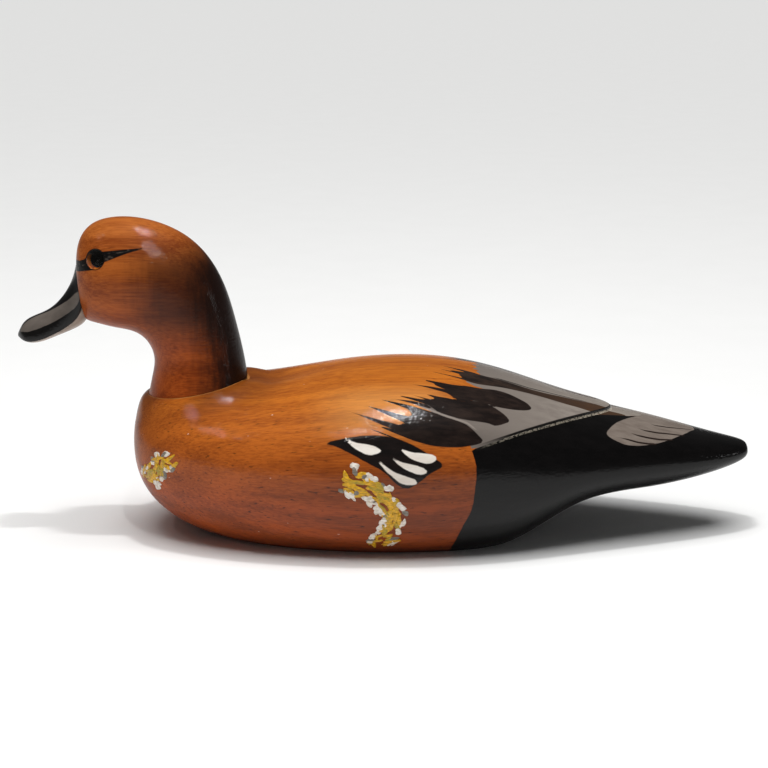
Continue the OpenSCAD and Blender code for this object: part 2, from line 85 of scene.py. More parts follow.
# Neck seat, the valley behind it, and the shelf that is faired to it.
SEAT = (-97.4924, 0.0, 76.0)
NECK_TILT = math.radians(10)
NECK_RADIUS, SEAT_GAP, SEAT_SINK, SEAT_WEAR, SEAT_DEEP = 26.0, 0.2, 0.8, 0.5, 4.0
SHELF_RADIUS, SHELF_FADE, SHELF_MOST = 41.0, 12.0, 12.0
VALLEY_DEPTH, VALLEY_LENGTH, VALLEY_HALF = 3.5, 48.0, 17.0
NECK_SHELF, BOSS_RADIUS, BOLT_BORE, WASHER_THICK = 22.0, 17.0, 4.1, 1.6

# Raised wings: where their edge runs, in shares of the body loft, and how they fade out forward.
WING_ROOT, WING_TIP, WING_LOW, WING_CURVE = 0.527, 0.706, 68.0, 1.7
WING_RISE, WING_FADE, WING_SOFTEN = 1.8, 0.257, 14.0
WING_RING, STEP_RUN, WARP_FROM, WARP_TO = 0.605, 0.003, 0.257, 0.89
# Rings lie closer along the wing's edge: share of the rings, then share of the loft.
WING_RING_TABLE = ((0.0, 0.585, 0.62, 1.0), (0.0, WING_RING - 0.001, WING_RING + STEP_RUN + 0.001, 1.0))

# Hollow, ledge and rebate of the bottom board.
WALL, HOLLOW_FRONT, HOLLOW_REAR, HOLLOW_ROUND = 16.0, 0.22, 0.605, 2.2
HOLLOW_RINGS, HOLLOW_SIDES = 40, 64
BOARD_THICK, LEDGE_TOP, OPENING_RISE, BOARD_NOSE = 12.0, 22.0, 12.0, 12.0
REBATE_MARGIN, OPENING_MARGIN = 6.8, 18.0
FLAT_BEFORE, FLAT_MIDDLE, FLAT_BEHIND, OUTLINE_STEPS = 0.18, 0.41, 0.7, 20
# How far the cutters stand past the wood that they cut.
SEAT_PAST, BORE_PAST, REBATE_PAST, OPENING_PAST, SOCKET_PAST = 40, 10, 10, 5, 10

# Head loft in the neck's frame. Columns: nape x and z, throat x and z, half width and widest place,
# all in percent.
HEAD_HEIGHT, HEAD_REACH, HEAD_WIDTH = 90.0, 48.5, 45.0
HEAD_LINES = (
    (54.5, 13, -46, 10, 100, 50),
    (53, 33, -38, 20, 91, 50),
    (49, 60, -42, 31, 91, 48),
    (26, 86, -55, 38, 96, 45),
    (-25, 102.5, -73, 41, 100, 42),
    (-74, 105, -89, 45, 89, 42),
    (-94, 94, -98, 47, 62, 42),
)
HEAD_RINGS, HEAD_SIDES = 220, 200
FACE_Z, FACE_LEAN, FACE_WIDEST = 59.4, 0.7, 0.45

# Bill loft. Columns: station, ridge, underside, half width and widest place in percent, then roundness.
BILL_LENGTH, BILL_HEIGHT, BILL_ROOT, BILL_WIDTH = 37.0, 32.0, 22.0, 24.0
BILL_LINES = (
    (10, 17, -57, 84, 40, 2, 2),
    (30, -8, -63, 80, 35, 2, 2.2),
    (50, -23, -67, 88, 30, 2, 2.4),
    (69, -28, -72, 100, 30, 2, 2.4),
    (90, -33, -70, 92, 30, 2, 2.4),
    (100, -50, -58, 34, 40, 2, 2),
)
BILL_RINGS, BILL_SIDES = 150, 180
GLUE_GAP, CHEEK_INSET, LIP_INSET, LIP_MOST, MOUTH_ANGLE = 0.1, 0.8, 0.9, 0.2, 118.0

# Glass eyes: place on the head loft, and the socket they sit in.
EYE_PLACE, EYE_ANGLE, EYE_RADIUS, EYE_DEPTH, EYE_GAP, IRIS_THICK = 0.743, 63.0, 5.0, 3.0, 0.1, 0.6
# The pupil sits off the middle, so the orange shows low and in front as a painted crescent of light.
PUPIL_RADIUS, PUPIL_OFFSET, SOCKET_LINE = 4.0, (0.6, 0.0, 0.5), 0.5
# Heights between which painted shade darkens the iris, and how they slope down toward its rear.
IRIS_LIT, IRIS_SHADED, IRIS_SLOPE = -3.5, 1.5, 0.4

# Height of the line that places on the body are turned about.
BELLY_MIDDLE = 41.0


def spline(rows, t):
    """Cubic B-spline along the rows of a loft, from its first row to its last."""
    rows = np.vstack([2 * rows[0] - rows[1], rows, 2 * rows[-1] - rows[-2]])
    spans = len(rows) - 3
    along = np.clip(t, 0, 1) * spans
    first = np.minimum(np.floor(along).astype(int), spans - 1)
    f = along - first
    weights = np.stack([(1 - f) ** 3, 3 * f**3 - 6 * f**2 + 4, -3 * f**3 + 3 * f**2 + 3 * f + 1, f**3]) / 6
    return sum(weights[k][..., None] * rows[first + k] for k in range(4))


def section(row, angle):
    """Points on the section of a loft: angle 0 is the top and a quarter turn the bird's left."""
    up, side = np.cos(angle), np.sin(angle)
    power = np.where(up >= 0, row[..., 6], row[..., 7])
    rise = np.abs(up) ** (2 / power)
    share = np.where(up >= 0, row[..., 5] + (1 - row[..., 5]) * rise, row[..., 5] * (1 - rise))
    x = row[..., 2] + (row[..., 0] - row[..., 2]) * share
    y = -np.sign(side) * row[..., 4] * np.abs(side) ** (2 / power)
    z = row[..., 3] + (row[..., 1] - row[..., 3]) * share
    return np.stack([x, y, z], -1)


def smooth(value):
    """Runs from 0 to 1 with no corner at either end."""
    value = np.clip(value, 0, 1)
    return value * value * (3 - 2 * value)


def body_rows():
    rows = []
    for station, top, bottom, half, waist, above, below in BODY_LINES:
        x = BREAST_X + station * BODY_LENGTH / 100
        widest = (waist - bottom) / (top - bottom)
        rows.append((x, top * BODY_HEIGHT / 100, x, bottom * BODY_HEIGHT / 100,
                     half * BODY_WIDTH / 200, widest, above, below))
    return np.array(rows, float)


def face_row():
    return (FACE_LEAN - HEAD_REACH, FACE_Z + BILL_HEIGHT / 2,
            -FACE_LEAN - HEAD_REACH, FACE_Z - BILL_HEIGHT / 2, BILL_ROOT / 2, FACE_WIDEST, 2, 2)


def head_rows():
    rows = [(NECK_RADIUS, SEAT_GAP, -NECK_RADIUS, SEAT_GAP, NECK_RADIUS, 0.5, 2, 2)]
    for nape_x, nape_z, throat_x, throat_z, half, widest in HEAD_LINES:
        rows.append((nape_x * HEAD_REACH / 100, nape_z * HEAD_HEIGHT / 100, throat_x * HEAD_REACH / 100,
                     throat_z * HEAD_HEIGHT / 100, half * HEAD_WIDTH / 200, widest / 100, 2, 2))
    rows.append(face_row())
    return np.array(rows, float)


def bill_rows():
    set_in = (-GLUE_GAP, -CHEEK_INSET, -GLUE_GAP, CHEEK_INSET, -CHEEK_INSET, 0, 0, 0)
    rows = [np.array(face_row()) + set_in]
    for station, ridge, under, half, widest, above, below in BILL_LINES:
        x = -HEAD_REACH - station * BILL_LENGTH / 100
        rows.append((x, FACE_Z + ridge * BILL_HEIGHT / 100, x, FACE_Z + under * BILL_HEIGHT / 100,
                     half * BILL_WIDTH / 200, widest / 100, above, below))
    return np.array(rows, float)


BODY_ROWS, HEAD_ROWS, BILL_ROWS = body_rows(), head_rows(), bill_rows()


def from_neck(points):
    """Takes points from the neck's tilted frame to the model's frame."""
    c, s = math.cos(NECK_TILT), math.sin(NECK_TILT)
    x, y, z = points[..., 0], points[..., 1], points[..., 2]
    return np.stack([SEAT[0] + x * c - z * s, y, SEAT[2] + x * s + z * c], -1)


def wing_edge(angle):
    """Share of the body loft where the wing ends, lowest on the flank and furthest back on top."""
    lean = np.minimum(np.abs(np.degrees(angle)), WING_LOW) / WING_LOW
    return WING_ROOT + (WING_TIP - WING_ROOT) * (1 - lean**WING_CURVE)


def carved_skin(u, angle):
    """Carved body skin: valley behind the neck, shelf round the seat, raised wing with a soft step."""
    edge = wing_edge(angle)
    slide = np.minimum((u - WARP_FROM) / (WING_RING - WARP_FROM), (WARP_TO - u) / (WARP_TO - WING_RING))
    t = u + (edge - WING_RING) * np.maximum(slide, 0)
    p = section(spline(BODY_ROWS, t), angle)
    above = np.cos(angle) > 0
    behind = p[..., 0] - SEAT[0] - NECK_RADIUS
    p[..., 2] -= (above * VALLEY_DEPTH * smooth(1 - behind / VALLEY_LENGTH) * smooth(1 + behind / NECK_RADIUS)
                  * smooth(1 - np.abs(p[..., 1]) / VALLEY_HALF))
    drop = SEAT[2] + SEAT_SINK + (p[..., 0] - SEAT[0]) * math.tan(NECK_TILT) - p[..., 2]
    away = np.hypot(p[..., 0] - SEAT[0], p[..., 1])
    p[..., 2] += (above * drop * smooth((SHELF_RADIUS - away) / SHELF_FADE)
                  * smooth(1 - np.abs(drop) / SHELF_MOST))
    lean = np.abs(np.degrees(angle))
    on_wing = smooth((WING_RING + STEP_RUN - u) / STEP_RUN)
    rise = WING_RISE * smooth((WING_LOW - lean) / WING_SOFTEN) * smooth(1 - (edge - t) / WING_FADE) * on_wing
    p[..., 1] -= rise * np.sin(angle)
    p[..., 2] += rise * np.cos(angle)
    return p


def body_place(level, angle):
    return carved_skin(np.interp(level, *WING_RING_TABLE), angle)


def hollow_place(level, angle):
    """Inside of the body, a wall's thickness under the skin and flat on the ledge."""
    row = spline(BODY_ROWS, HOLLOW_FRONT + (HOLLOW_REAR - HOLLOW_FRONT) * level)
    row[..., 1] -= WALL
    row[..., 3] = LEDGE_TOP
    row[..., 4] -= WALL
    row[..., 5] = 0.5
    row[..., 6:8] = HOLLOW_ROUND
    return section(row, angle)


def head_place(level, angle):
    return from_neck(section(spline(HEAD_ROWS, level), angle))


def bill_place(level, angle):
    """Bill skin with the lower mandible set in under the lip."""
    row = spline(BILL_ROWS, level)
    p = section(row, angle)
    under = np.abs(np.degrees(angle)) > MOUTH_ANGLE
    p[..., 1] *= 1 - under * np.minimum(LIP_INSET / row[..., 4], LIP_MOST)
    return from_neck(p)


def flat_half(t):
    """Half width of the flat bottom at a share of the body loft."""
    row = spline(BODY_ROWS, np.array(t))
    if row[3] >= 0:
        return 0.0
    c = (1 + row[3] / (row[1] - row[3]) / row[5]) ** (row[7] / 2)
    return row[4] * (1 - c * c) ** (1 / row[7])


def flat_end(outside, goal):
    """Share of the loft where the flat bottom is as wide as the goal."""
    inside = FLAT_MIDDLE
    for _ in range(OUTLINE_STEPS):
        middle = (outside + inside) / 2
        if flat_half(middle) < goal:
            outside = middle
        else:
            inside = middle
    return inside


def skin(place, rings, sides):
    """Rolls a flat grid round a loft, seams it under the belly and caps both ends."""
    mesh = bmesh.new()
    turned = mesh.verts.layers.float.new("turned")
    bmesh.ops.create_grid(mesh, x_segments=rings, y_segments=sides, size=0.5)
    flat = np.array([v.co for v in mesh.verts], float)
    angles = flat[:, 1] * 2 * math.pi
    for vert, point, angle in zip(mesh.verts, place(flat[:, 0] + 0.5, angles), angles):
        vert.co = Vector(point) * MM
        vert[turned] = abs(math.degrees(angle))
    bmesh.ops.remove_doubles(mesh, verts=mesh.verts, dist=WELD)
    bmesh.ops.holes_fill(mesh, edges=mesh.edges)
    bmesh.ops.recalc_face_normals(mesh, faces=mesh.faces)
    return mesh


def neck_frame():
    return Matrix.Translation(Vector(SEAT) * MM) @ Matrix.Rotation(-NECK_TILT, 4, "Y")


def peg(radius, low, high, place):
    """Round cutter along the z of a frame."""
    mesh = bmesh.new()
    middle = Matrix.Translation((0, 0, (low + high) / 2 * MM))
    bmesh.ops.create_cone(mesh, cap_ends=True, segments=PEG_SIDES, radius1=radius * MM, radius2=radius * MM,
                          depth=(high - low) * MM, matrix=place @ middle)
    return mesh


def board_cutter(margin, low, high):
    """Upright cutter with the outline of the flat bottom, a margin inside its rim."""
    front = flat_end(FLAT_BEFORE, margin + BOARD_NOSE)
    rear = flat_end(FLAT_BEHIND, margin + BOARD_NOSE)
    places = [front + (rear - front) * k / OUTLINE_STEPS for k in range(OUTLINE_STEPS + 1)]
    side = [(spline(BODY_ROWS, np.array(t))[0], flat_half(t) - margin) for t in places]
    mesh = bmesh.new()
    rim = [mesh.verts.new((x * MM, y * MM, low * MM)) for x, y in side]
    rim += [mesh.verts.new((x * MM, -y * MM, low * MM)) for x, y in reversed(side)]
    walls = bmesh.ops.extrude_face_region(mesh, geom=[mesh.faces.new(rim)])
    raised = [v for v in walls["geom"] if isinstance(v, bmesh.types.BMVert)]
    bmesh.ops.translate(mesh, verts=raised, vec=(0, 0, (high - low) * MM))
    bmesh.ops.recalc_face_normals(mesh, faces=mesh.faces)
    return mesh


def piece(name, mesh):
    """Makes an object of a bmesh, at the origin."""
    data = bpy.data.meshes.new(name)
    mesh.to_mesh(data)
    mesh.free()
    made = bpy.data.objects.new(name, data)
    bpy.context.scene.collection.objects.link(made)
    return made


def carve(made, cutters):
    """Cuts each cutter out of a piece and leaves plain geometry."""
    tools = [piece("cutter", mesh) for mesh in cutters]
    for tool in tools:
        cut = made.modifiers.new("cut", "BOOLEAN")
        cut.operation = "DIFFERENCE"
        cut.solver = "MANIFOLD"
        cut.object = tool
    shown = made.evaluated_get(bpy.context.evaluated_depsgraph_get())
    carved = bpy.data.meshes.new_from_object(shown)
    made.modifiers.clear()
    made.data = carved
    made.data.materials.clear()
    for tool in tools:
        bpy.data.objects.remove(tool)


@contextmanager
def opened(made):
    """A piece's mesh, open for work and then put back."""
    mesh = bmesh.new()
    mesh.from_mesh(made.data)
    yield mesh
    mesh.to_mesh(made.data)
    mesh.free()


def round_off(made):
    """Shades a piece smooth, and sharp where its faces meet at more than the crease."""
    with opened(made) as mesh:
        for face in mesh.faces:
            face.smooth = True
        for edge in mesh.edges:
            edge.smooth = edge.calc_face_angle(math.pi) < math.radians(CREASE)


def stands_for(made, node, body, material):
    """Gives a finished piece its material, and puts it in the place of a CAD node."""
    made.data.materials.append(material)
    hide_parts(node)
    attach(made, body)


def points_of(made):
    """A piece's points in millimetres."""
    flat = np.empty(len(made.data.vertices) * 3)
    made.data.vertices.foreach_get("co", flat)
    return flat.reshape(-1, 3) / MM


def leaning(points):
    """How far each point of the body lies down from the back, in degrees on either side."""
    return np.degrees(np.arctan2(np.abs(points[:, 1]), points[:, 2] - BELLY_MIDDLE))


# How deep a patch is kept, the softness of thin lines, and the share of a side that a cut corner takes.
DEEPEST, LINE_SOFT, CORNER = 14.0, 0.25, 0.25
# A distance past any other, and a length that stands in for none.
FAR, NO_LENGTH = 1e9, 1e-9


def paint(made, name, depth):
    """Keeps how deep each point lies inside a painted patch, in millimetres, for its material."""
    coat = made.data.attributes.new(name, "FLOAT", "POINT")
    coat.data.foreach_set("value", np.clip(depth, -DEEPEST, DEEPEST).astype(np.float32))


def softened(outline, rounds=2):
    """Cuts the corners of a closed outline, so that it reads as brushed by hand."""
    line = np.array(outline, float)
    for _ in range(rounds):
        step = np.roll(line, -1, axis=0)
        near, far = line * (1 - CORNER) + step * CORNER, line * CORNER + step * (1 - CORNER)
        line = np.stack([near, far], 1).reshape(-1, 2)
    return line


def depth_in(points, outline):
    """How far each point lies inside a closed outline, negative outside it."""
    inside = np.zeros(len(points), bool)
    nearest = np.full(len(points), FAR)
    for a, b in zip(outline, np.roll(outline, -1, axis=0)):
        run = b - a
        away = points - a
        share = np.clip(away @ run / max(run @ run, NO_LENGTH), 0, 1)
        nearest = np.minimum(nearest, np.linalg.norm(away - share[:, None] * run, axis=1))
        spans = (a[1] > points[:, 1]) != (b[1] > points[:, 1])
        rise = run[1] if abs(run[1]) > NO_LENGTH else NO_LENGTH
        inside ^= spans & (points[:, 0] < a[0] + (points[:, 1] - a[1]) * run[0] / rise)
    return np.where(inside, nearest, -nearest)


def deepest(points, outlines):
    return np.max([depth_in(points, softened(outline, 1)) for outline in outlines], axis=0)


def brush_line(made, name, places, line, width, start, end):
    """Keeps how far each point lies off a thin brushed line, and half the line's width there.

    The line runs along x and thins out over the start and end lengths.
    """
    line = np.array(line, float)
    x = places[:, 0]
    off = places[:, 1] - np.interp(x, line[:, 0], line[:, 1])
    thin = smooth(np.minimum((x - line[0, 0]) / start, (line[-1, 0] - x) / end))
    half = (width / 2 + LINE_SOFT) * thin - LINE_SOFT
    coat = made.data.attributes.new(name, "FLOAT_VECTOR", "POINT")
    coat.data.foreach_set("vector", np.stack([off, half, 0 * off], 1).astype(np.float32).ravel())


# Painted patches on the body, as places (x in mm, degrees down from the back); each is on both sides.
FLANK_PATCH = (
    (-30.5, 71.8), (-26.6, 70.3), (-20.3, 69.1), (-10, 67.7), (-0.6, 68.1), (7.2, 69.7), (15.5, 73.1),
    (22.2, 76.9), (29.2, 81.2), (21.5, 84.1), (15.5, 88.6), (10, 91), (4.1, 88), (-0.6, 83.5),
    (-7.6, 80.3), (-17.9, 75.6), (-25, 72.5),
)
FLANK_TEARS = (
    ((-23.2, 65.8), (-17.9, 70.2), (-11.6, 71.7), (-6.8, 72.2), (-2.9, 73.8), (-2.1, 74.9), (-4.5, 76),
     (-8.4, 76.6), (-13.9, 74.5), (-17.9, 71.8)),
    ((6.2, 73.1), (11.8, 75.3), (19.3, 75.8), (23.6, 76.4), (25.1, 78), (22.9, 79.7), (19.3, 80.2),
     (13.3, 78.6), (9.5, 76.4)),
    ((1.7, 76.4), (6.4, 79.2), (11.8, 80.3), (17, 81.3), (20.7, 83.5), (18.5, 84.6), (14.8, 84.6),
     (9.5, 82.5), (5.6, 80.3)),
    ((-4.5, 77.9), (1, 81.9), (5.6, 84.1), (11.8, 85.8), (14.8, 86.9), (15.5, 88.6), (12.5, 89.2),
     (7.9, 88.6), (2.5, 85.2), (-1.4, 81.9)),
)
LOW_FEATHER = (
    (-2.9, 62.9), (2.5, 66.9), (9.5, 69.1), (15.5, 70.8), (22.2, 72.5), (29.4, 73.1), (35.6, 73.2),
    (41.6, 72.4), (46.1, 71.5), (48, 70.2), (45.4, 67.5), (42.2, 64.4), (38.9, 61.9), (34.2, 60.2),
    (28.7, 58.6), (23.6, 56.4), (18.5, 54.2), (13.5, 51.8), (10.5, 52.6), (8, 56), (5, 59),
)
MIDDLE_FEATHER = (
    (9.5, 49.7), (14.8, 51.8), (21.5, 54.4), (27.2, 56.9), (34.2, 59), (40.3, 60.1), (46.1, 60.6),
    (51.2, 61.2), (53.1, 62.4), (56, 61.9), (58.5, 60.8), (61.6, 59.2), (59.5, 55.6), (55.5, 52),
    (51.8, 49.6), (48, 47.6), (43, 47.9), (36.9, 48.6), (29.4, 46.4), (22, 44.6), (15, 46.5),
)
HIGH_FEATHER = (
    (24, 39.4), (27.2, 41.8), (32.1, 45.2), (36.9, 48.7), (42.5, 47.2), (48.7, 48.1), (53.7, 49.9),
    (59.2, 50.6), (65.1, 50.6), (70.6, 49.6), (73.6, 47.4), (71.4, 42.4), (67.4, 39.4), (62.7, 36.2),
    (57.3, 34.6), (53.7, 34.6), (48, 35.7), (42.2, 35.2), (34.9, 34.5), (28, 36),
)
BACK_STRIPE = (
    (26, 18.9), (32.8, 13.8), (38.9, 11.8), (48.4, 10.4), (46, 16), (50.6, 17.2), (58.6, 17.5), (66.3, 18.9),
    (73.7, 20.3), (81.7, 19.5), (89.8, 16.4), (97.5, 14.3), (106.9, 12), (113.9, 15.8), (120.4, 16.5),
    (125.6, 20.4), (118.5, 30.7), (112, 31.5), (105, 35.4), (99.3, 32.1), (91.5, 30.7), (84, 29.2),
    (76, 28.6), (68, 29), (60.4, 29.4), (52.4, 30.7), (46.8, 31.3), (41.6, 30.2), (36.3, 27.4), (31.5, 22.6),
)
# Rear edge of the wing from the flank to the back, where the grey wing and the black rump meet.
WING_BRINK = (
    (48.7, 73.1), (52.4, 73.9), (56.1, 71.4), (60.9, 69.7), (66.3, 68), (71.4, 65.8), (78.3, 61.2),
    (87.4, 54.2), (95.7, 45.7), (104.3, 36.4), (112, 31.5), (125.6, 20.4), (133, 8), (140, -8),
)
GREY_WING = (
    (40, 30.1), (44.8, 34), (50.3, 35.9), (47.1, 42), (41.6, 49), (30, 52), (14, 51.5), (21.5, 55.6),
    (33.5, 62.5), (40.9, 69.9), (41.6, 73.6), *WING_BRINK, (46, -8), (47, 2), (44, 6), (48.4, 8), (46, 11),
    (48.4, 16),
)
RUMP = (
    (41.6, 73.9), (42.9, 77.2), (44.2, 82.1), (44.2, 87), (43.6, 92.1), (42.9, 98.1), (41.6, 103),
    (38.3, 109.1), (35.6, 116.1), (32.8, 125.8), (31, 140), (30, 185), (240, 185), (240, -8),
    *reversed(WING_BRINK),
)
TAIL_GREY = (
    (111.4, 60.1), (113.9, 54), (117.8, 44.5), (122.4, 35.1), (128.2, 20.5), (133.3, 3.4), (134, -8),
    (161.5, -8), (161, 12), (160, 20.6), (155.4, 45.8), (148.8, 59), (141.9, 66.8), (133.9, 70.4),
    (127.6, 71.6), (121.1, 70.9), (116.5, 67.5), (112.6, 63.9),
)

# Where the flat bottom is cut across under the rump's paint: first, last and step in mm.
RUMP_CUTS = (20, 52, 2)
# Most that a face of the flat bottom can point up.
DOWNWARD = -0.99

# Thin brushed lines from the first to the last: shade, places, width in degrees, and the lengths over which
# each end thins out in mm.
LINE_NAME = "brushed_line_%d"
WISP, TAIL_STROKE, FEATHER_VANE, STRIPE_EDGE = "#1d1411", "#241a16", "#8a8078", "#0f0b0a"
BRUSHED_LINES = (
    (WISP, ((-23, 53.5), (-10, 58.9), (-1.4, 62.2), (8, 65)), 3.0, 29, 1),
    (WISP, ((-17, 55.8), (-6.8, 60), (3, 63.6), (9, 66)), 2.6, 24, 1),
    (WISP, ((-1, 47), (12.5, 50.3), (22, 53.6)), 2.6, 21, 1),
    (WISP, ((8, 35.2), (22.2, 39.1), (33, 42.5)), 2.8, 23, 1),
    (WISP, ((9, 43.6), (22.9, 49.5), (32, 53)), 2.6, 21, 1),
    (TAIL_STROKE, ((133.5, 29), (138.9, 36.3), (146, 34.9), (152.7, 28.9), (159.5, 19)), 3.2, 9, 0.5),
    (TAIL_STROKE, ((126.6, 47.5), (132.7, 52), (139.5, 53.4), (146, 52.7), (154, 52.5)), 2.6, 9, 0.5),
    (TAIL_STROKE, ((122, 56), (128.2, 60.3), (134.5, 62.6), (140.1, 63.7), (147, 63)), 2.2, 9, 0.5),
    (TAIL_STROKE, ((115.5, 63), (122.4, 65.5), (127.6, 68), (133.3, 69.3), (138, 69.5)), 1.8, 9, 0.5),
    (FEATHER_VANE, ((8.5, 49.2), (15.5, 52.4), (22, 55.1), (28.7, 57.9), (34.2, 59.6), (40, 61.6), (46, 66)),
     1.1, 14, 4),
    (STRIPE_EDGE, ((52, 15.5), (58.6, 16.5), (73.7, 18.1), (89.8, 14.1), (108, 10.5)), 1.6, 8, 8),
)

# Painted patches on the head (x and z in mm) and the bill (x in mm, degrees round the bill).
EYE_WEDGE = (
    (-160, 143.2), (-155.4, 142.5), (-150.5, 144.5), (-149.4, 147.4), (-147.8, 148.7), (-145.6, 148),
    (-140.5, 148.6), (-135.2, 149.2), (-129.7, 149.7), (-119, 150.4), (-128.7, 148), (-133.7, 146.2),
    (-138.8, 144.2), (-144, 142.2), (-146, 139.8), (-148.3, 139), (-151, 138.5), (-154.7, 137.5),
    (-160, 136.5),
)
BILL_PATCH = (
    (-155.2, 92), (-155.4, 84), (-157.4, 71), (-159.6, 60), (-162.8, 50), (-168, 34), (-173.2, 20),
    (-177.7, 13), (-181.6, 15), (-184.5, 22), (-186.4, 30), (-187.4, 46), (-187.2, 58), (-183.1, 67),
    (-179.4, 66), (-174.1, 67), (-170.2, 69), (-166.1, 74), (-163, 78), (-159.8, 83), (-157.1, 89),
    (-155.4, 95),
)
BILL_DEGREES_PER_MM = 5.0

# Pointed brush marks at the fronts of the wing feathers: where the fronts start, in mm and degrees,
# and the slope (degrees per mm), pitch (degrees), reach (mm) and drift (pitches) of the marks.
FRONT_X, FRONT_LEAN, FRONT_SLANT, FRONT_FADE, FRONT_LOWEST = -3.0, 63.0, 30 / 44, 26.0, 76.0
STREAK_SLOPE, TOOTH_PITCH, TOOTH_REACH, TOOTH_DRIFT = 0.36, 3.1, 9.0, 1.8
# Lines along the wing's carved edge: the degrees over which they fade out, where the rump starts to follow
# the edge, and the points that the edge is measured at.
RIM_FADE, RUMP_TOP, EDGE_POINTS = 8.0, 37.0, 400

# Daubs of thick paint on the bird's left flank and breast, as places on the body. A daub has a number of dabs
# and a seed for its dice.
FLANK_DAUB = (
    (-19.5, 86.1), (-14.7, 88.3), (-10, 90.2), (-5.3, 91.9), (-1.4, 95), (1.8, 98.3), (3.3, 101.3),
    (4.1, 104.7), (3.3, 108), (1.8, 112.2), (-1.4, 115.8), (-5.3, 121),
)
BREAST_DAUB = ((-121.5, 104), (-119, 96), (-115.5, 89), (-111.5, 83), (-107, 82))
FLANK_DABS, FLANK_SEED, BREAST_DABS, BREAST_SEED = 120, 5, 44, 8
# Half width of a daub and size of its lumps in mm, how rough the lumps are, and the share that is left of
# what would stand wider than the body.
DAUB_HALF, DAUB_LUMP, DAUB_ROUGH, DAUB_FLAT = 5.8, 1.8, 0.55, 0.04
# Dabs: shares of the daub's half width they lie between, half length and half width in mm, and the numbers
# of their finishes.
EDGE_DAB = ((0.6, 1.1), (1.4, 2.8), (1.0, 1.8), (2, 2, 2, 3))
MIDDLE_DAB = ((0.0, 0.8), (2.6, 5.0), (0.8, 1.6), (0, 0, 0, 1))
# Half height of a dab in mm, the most it is turned in radians, and the step that gives its direction.
DAB_HIGH, DAB_TURN, DAB_STEP = (0.12, 0.3), 0.8, 0.5
# How far out in mm the search for the body's skin starts.
OUTSIDE = 120


def linear(code):
    """Turns an sRGB hex colour into the linear colour that a socket takes."""
    parts = [int(code[k:k + 2], 16) / 255 for k in (1, 3, 5)]
    return tuple(p / 12.92 if p <= 0.04045 else ((p + 0.055) / 1.055) ** 2.4 for p in parts) + (1.0,)


def add(tree, kind, sockets=None, out=None, **settings):
    """Adds a shader node and returns the output that is named, or else the first one in use.

    A socket takes a plain value, a hex colour or another node's output.
    """
    node = tree.nodes.new("ShaderNode" + kind)
    for key, value in settings.items():
        setattr(node, key, value)
    for key, value in (sockets or {}).items():
        if isinstance(value, bpy.types.NodeSocket):
            tree.links.new(value, node.inputs[key])
        else:
            node.inputs[key].default_value = linear(value) if isinstance(value, str) else value
    if out:
        return node.outputs[out]
    return next((output for output in node.outputs if output.enabled), None)


# Sockets of the Mix node when it mixes colours.
SHARE, UNDER, OVER = 0, 6, 7
# Half the softness of painted edges in mm: on the body, on the head and bill, at the wing's rim, in the eye.
BODY_SOFT, HEAD_SOFT, RIM_SOFT, PUPIL_SOFT = 0.25, 0.2, 0.15, 0.1


def finish(name, surface):
    """Makes a material from a function that returns the sockets of its surface."""
    material = bpy.data.materials.new(name)
    material.use_nodes = True
    tree = material.node_tree
    tree.nodes.clear()
    shader = add(tree, "BsdfPrincipled", surface(tree))
    add(tree, "OutputMaterial", {"Surface": shader})
    return material


def pattern(tree, sizes, kind="TexNoise", **sockets):
    """A random pattern on a piece, whose patches have the given sizes in millimetres."""
    place = add(tree, "TexCoord", out="Object")
    scaled = add(tree, "Mapping", {"Vector": place, "Scale": tuple(1 / (size * MM) for size in sizes)})
    return add(tree, kind, {"Vector": scaled, "Scale": 1.0, **sockets})


def graded(tree, value, start, end, first, second):
    """Runs from a first colour to a second one, as a value goes from its start to its end."""
    share = add(tree, "MapRange", {"Value": value, "From Min": start, "From Max": end})
    return add(tree, "Mix", {SHARE: share, UNDER: first, OVER: second}, data_type="RGBA")


def wood_figure(tree, light, dark, pored=0.35):
    """Colour and height of planed softwood: bands along the length, fibres and a few dark pores.

    Real fibres and pores are too fine to show in the render, so both are drawn coarser.
    """
    bands = pattern(tree, (160, 9, 9), Detail=3.0, Distortion=0.4)
    fibres = pattern(tree, (20, 0.8, 0.8), Detail=3.0, Roughness=0.6)
    pores = pattern(tree, (5, 0.9, 0.9), Detail=1.0)
    pores = add(tree, "MapRange", {"Value": pores, "From Min": 0.64, "From Max": 0.78})
    mixed = add(tree, "Math", {0: bands, 1: fibres}, operation="ADD")
    colour = graded(tree, mixed, 0.79, 1.21, dark, light)
    pored = add(tree, "Math", {0: pores, 1: pored}, operation="MULTIPLY")
    colour = add(tree, "Mix", {SHARE: pored, UNDER: colour, OVER: "#1e0d07"}, data_type="RGBA")
    height = add(tree, "Math", {0: fibres, 1: pores}, operation="SUBTRACT")
    return colour, height


LACQUER = {
    "Roughness": 0.5,
    "Specular IOR Level": 0.08,
    "IOR": 1.5,
    "Coat Weight": 0.4,
    "Coat Roughness": 0.06,
}


def brushed_lacquer(tree, height):
    """Normals of wood grain under a brushed coat, and of the coat's own strokes and fine orange peel."""
    grain = add(tree, "Bump", {"Height": height, "Strength": 0.2, "Distance": 0.12 * MM})
    strokes = pattern(tree, (11, 3, 3), Detail=3.0)
    peel = pattern(tree, (1.6, 1.1, 1.1), Detail=2.0)
    coat = add(tree, "Bump", {"Height": strokes, "Strength": 0.5, "Distance": 0.3 * MM})
    coat = add(tree, "Bump", {"Height": peel, "Strength": 1.0, "Distance": 0.16 * MM, "Normal": coat})
    return grain, coat


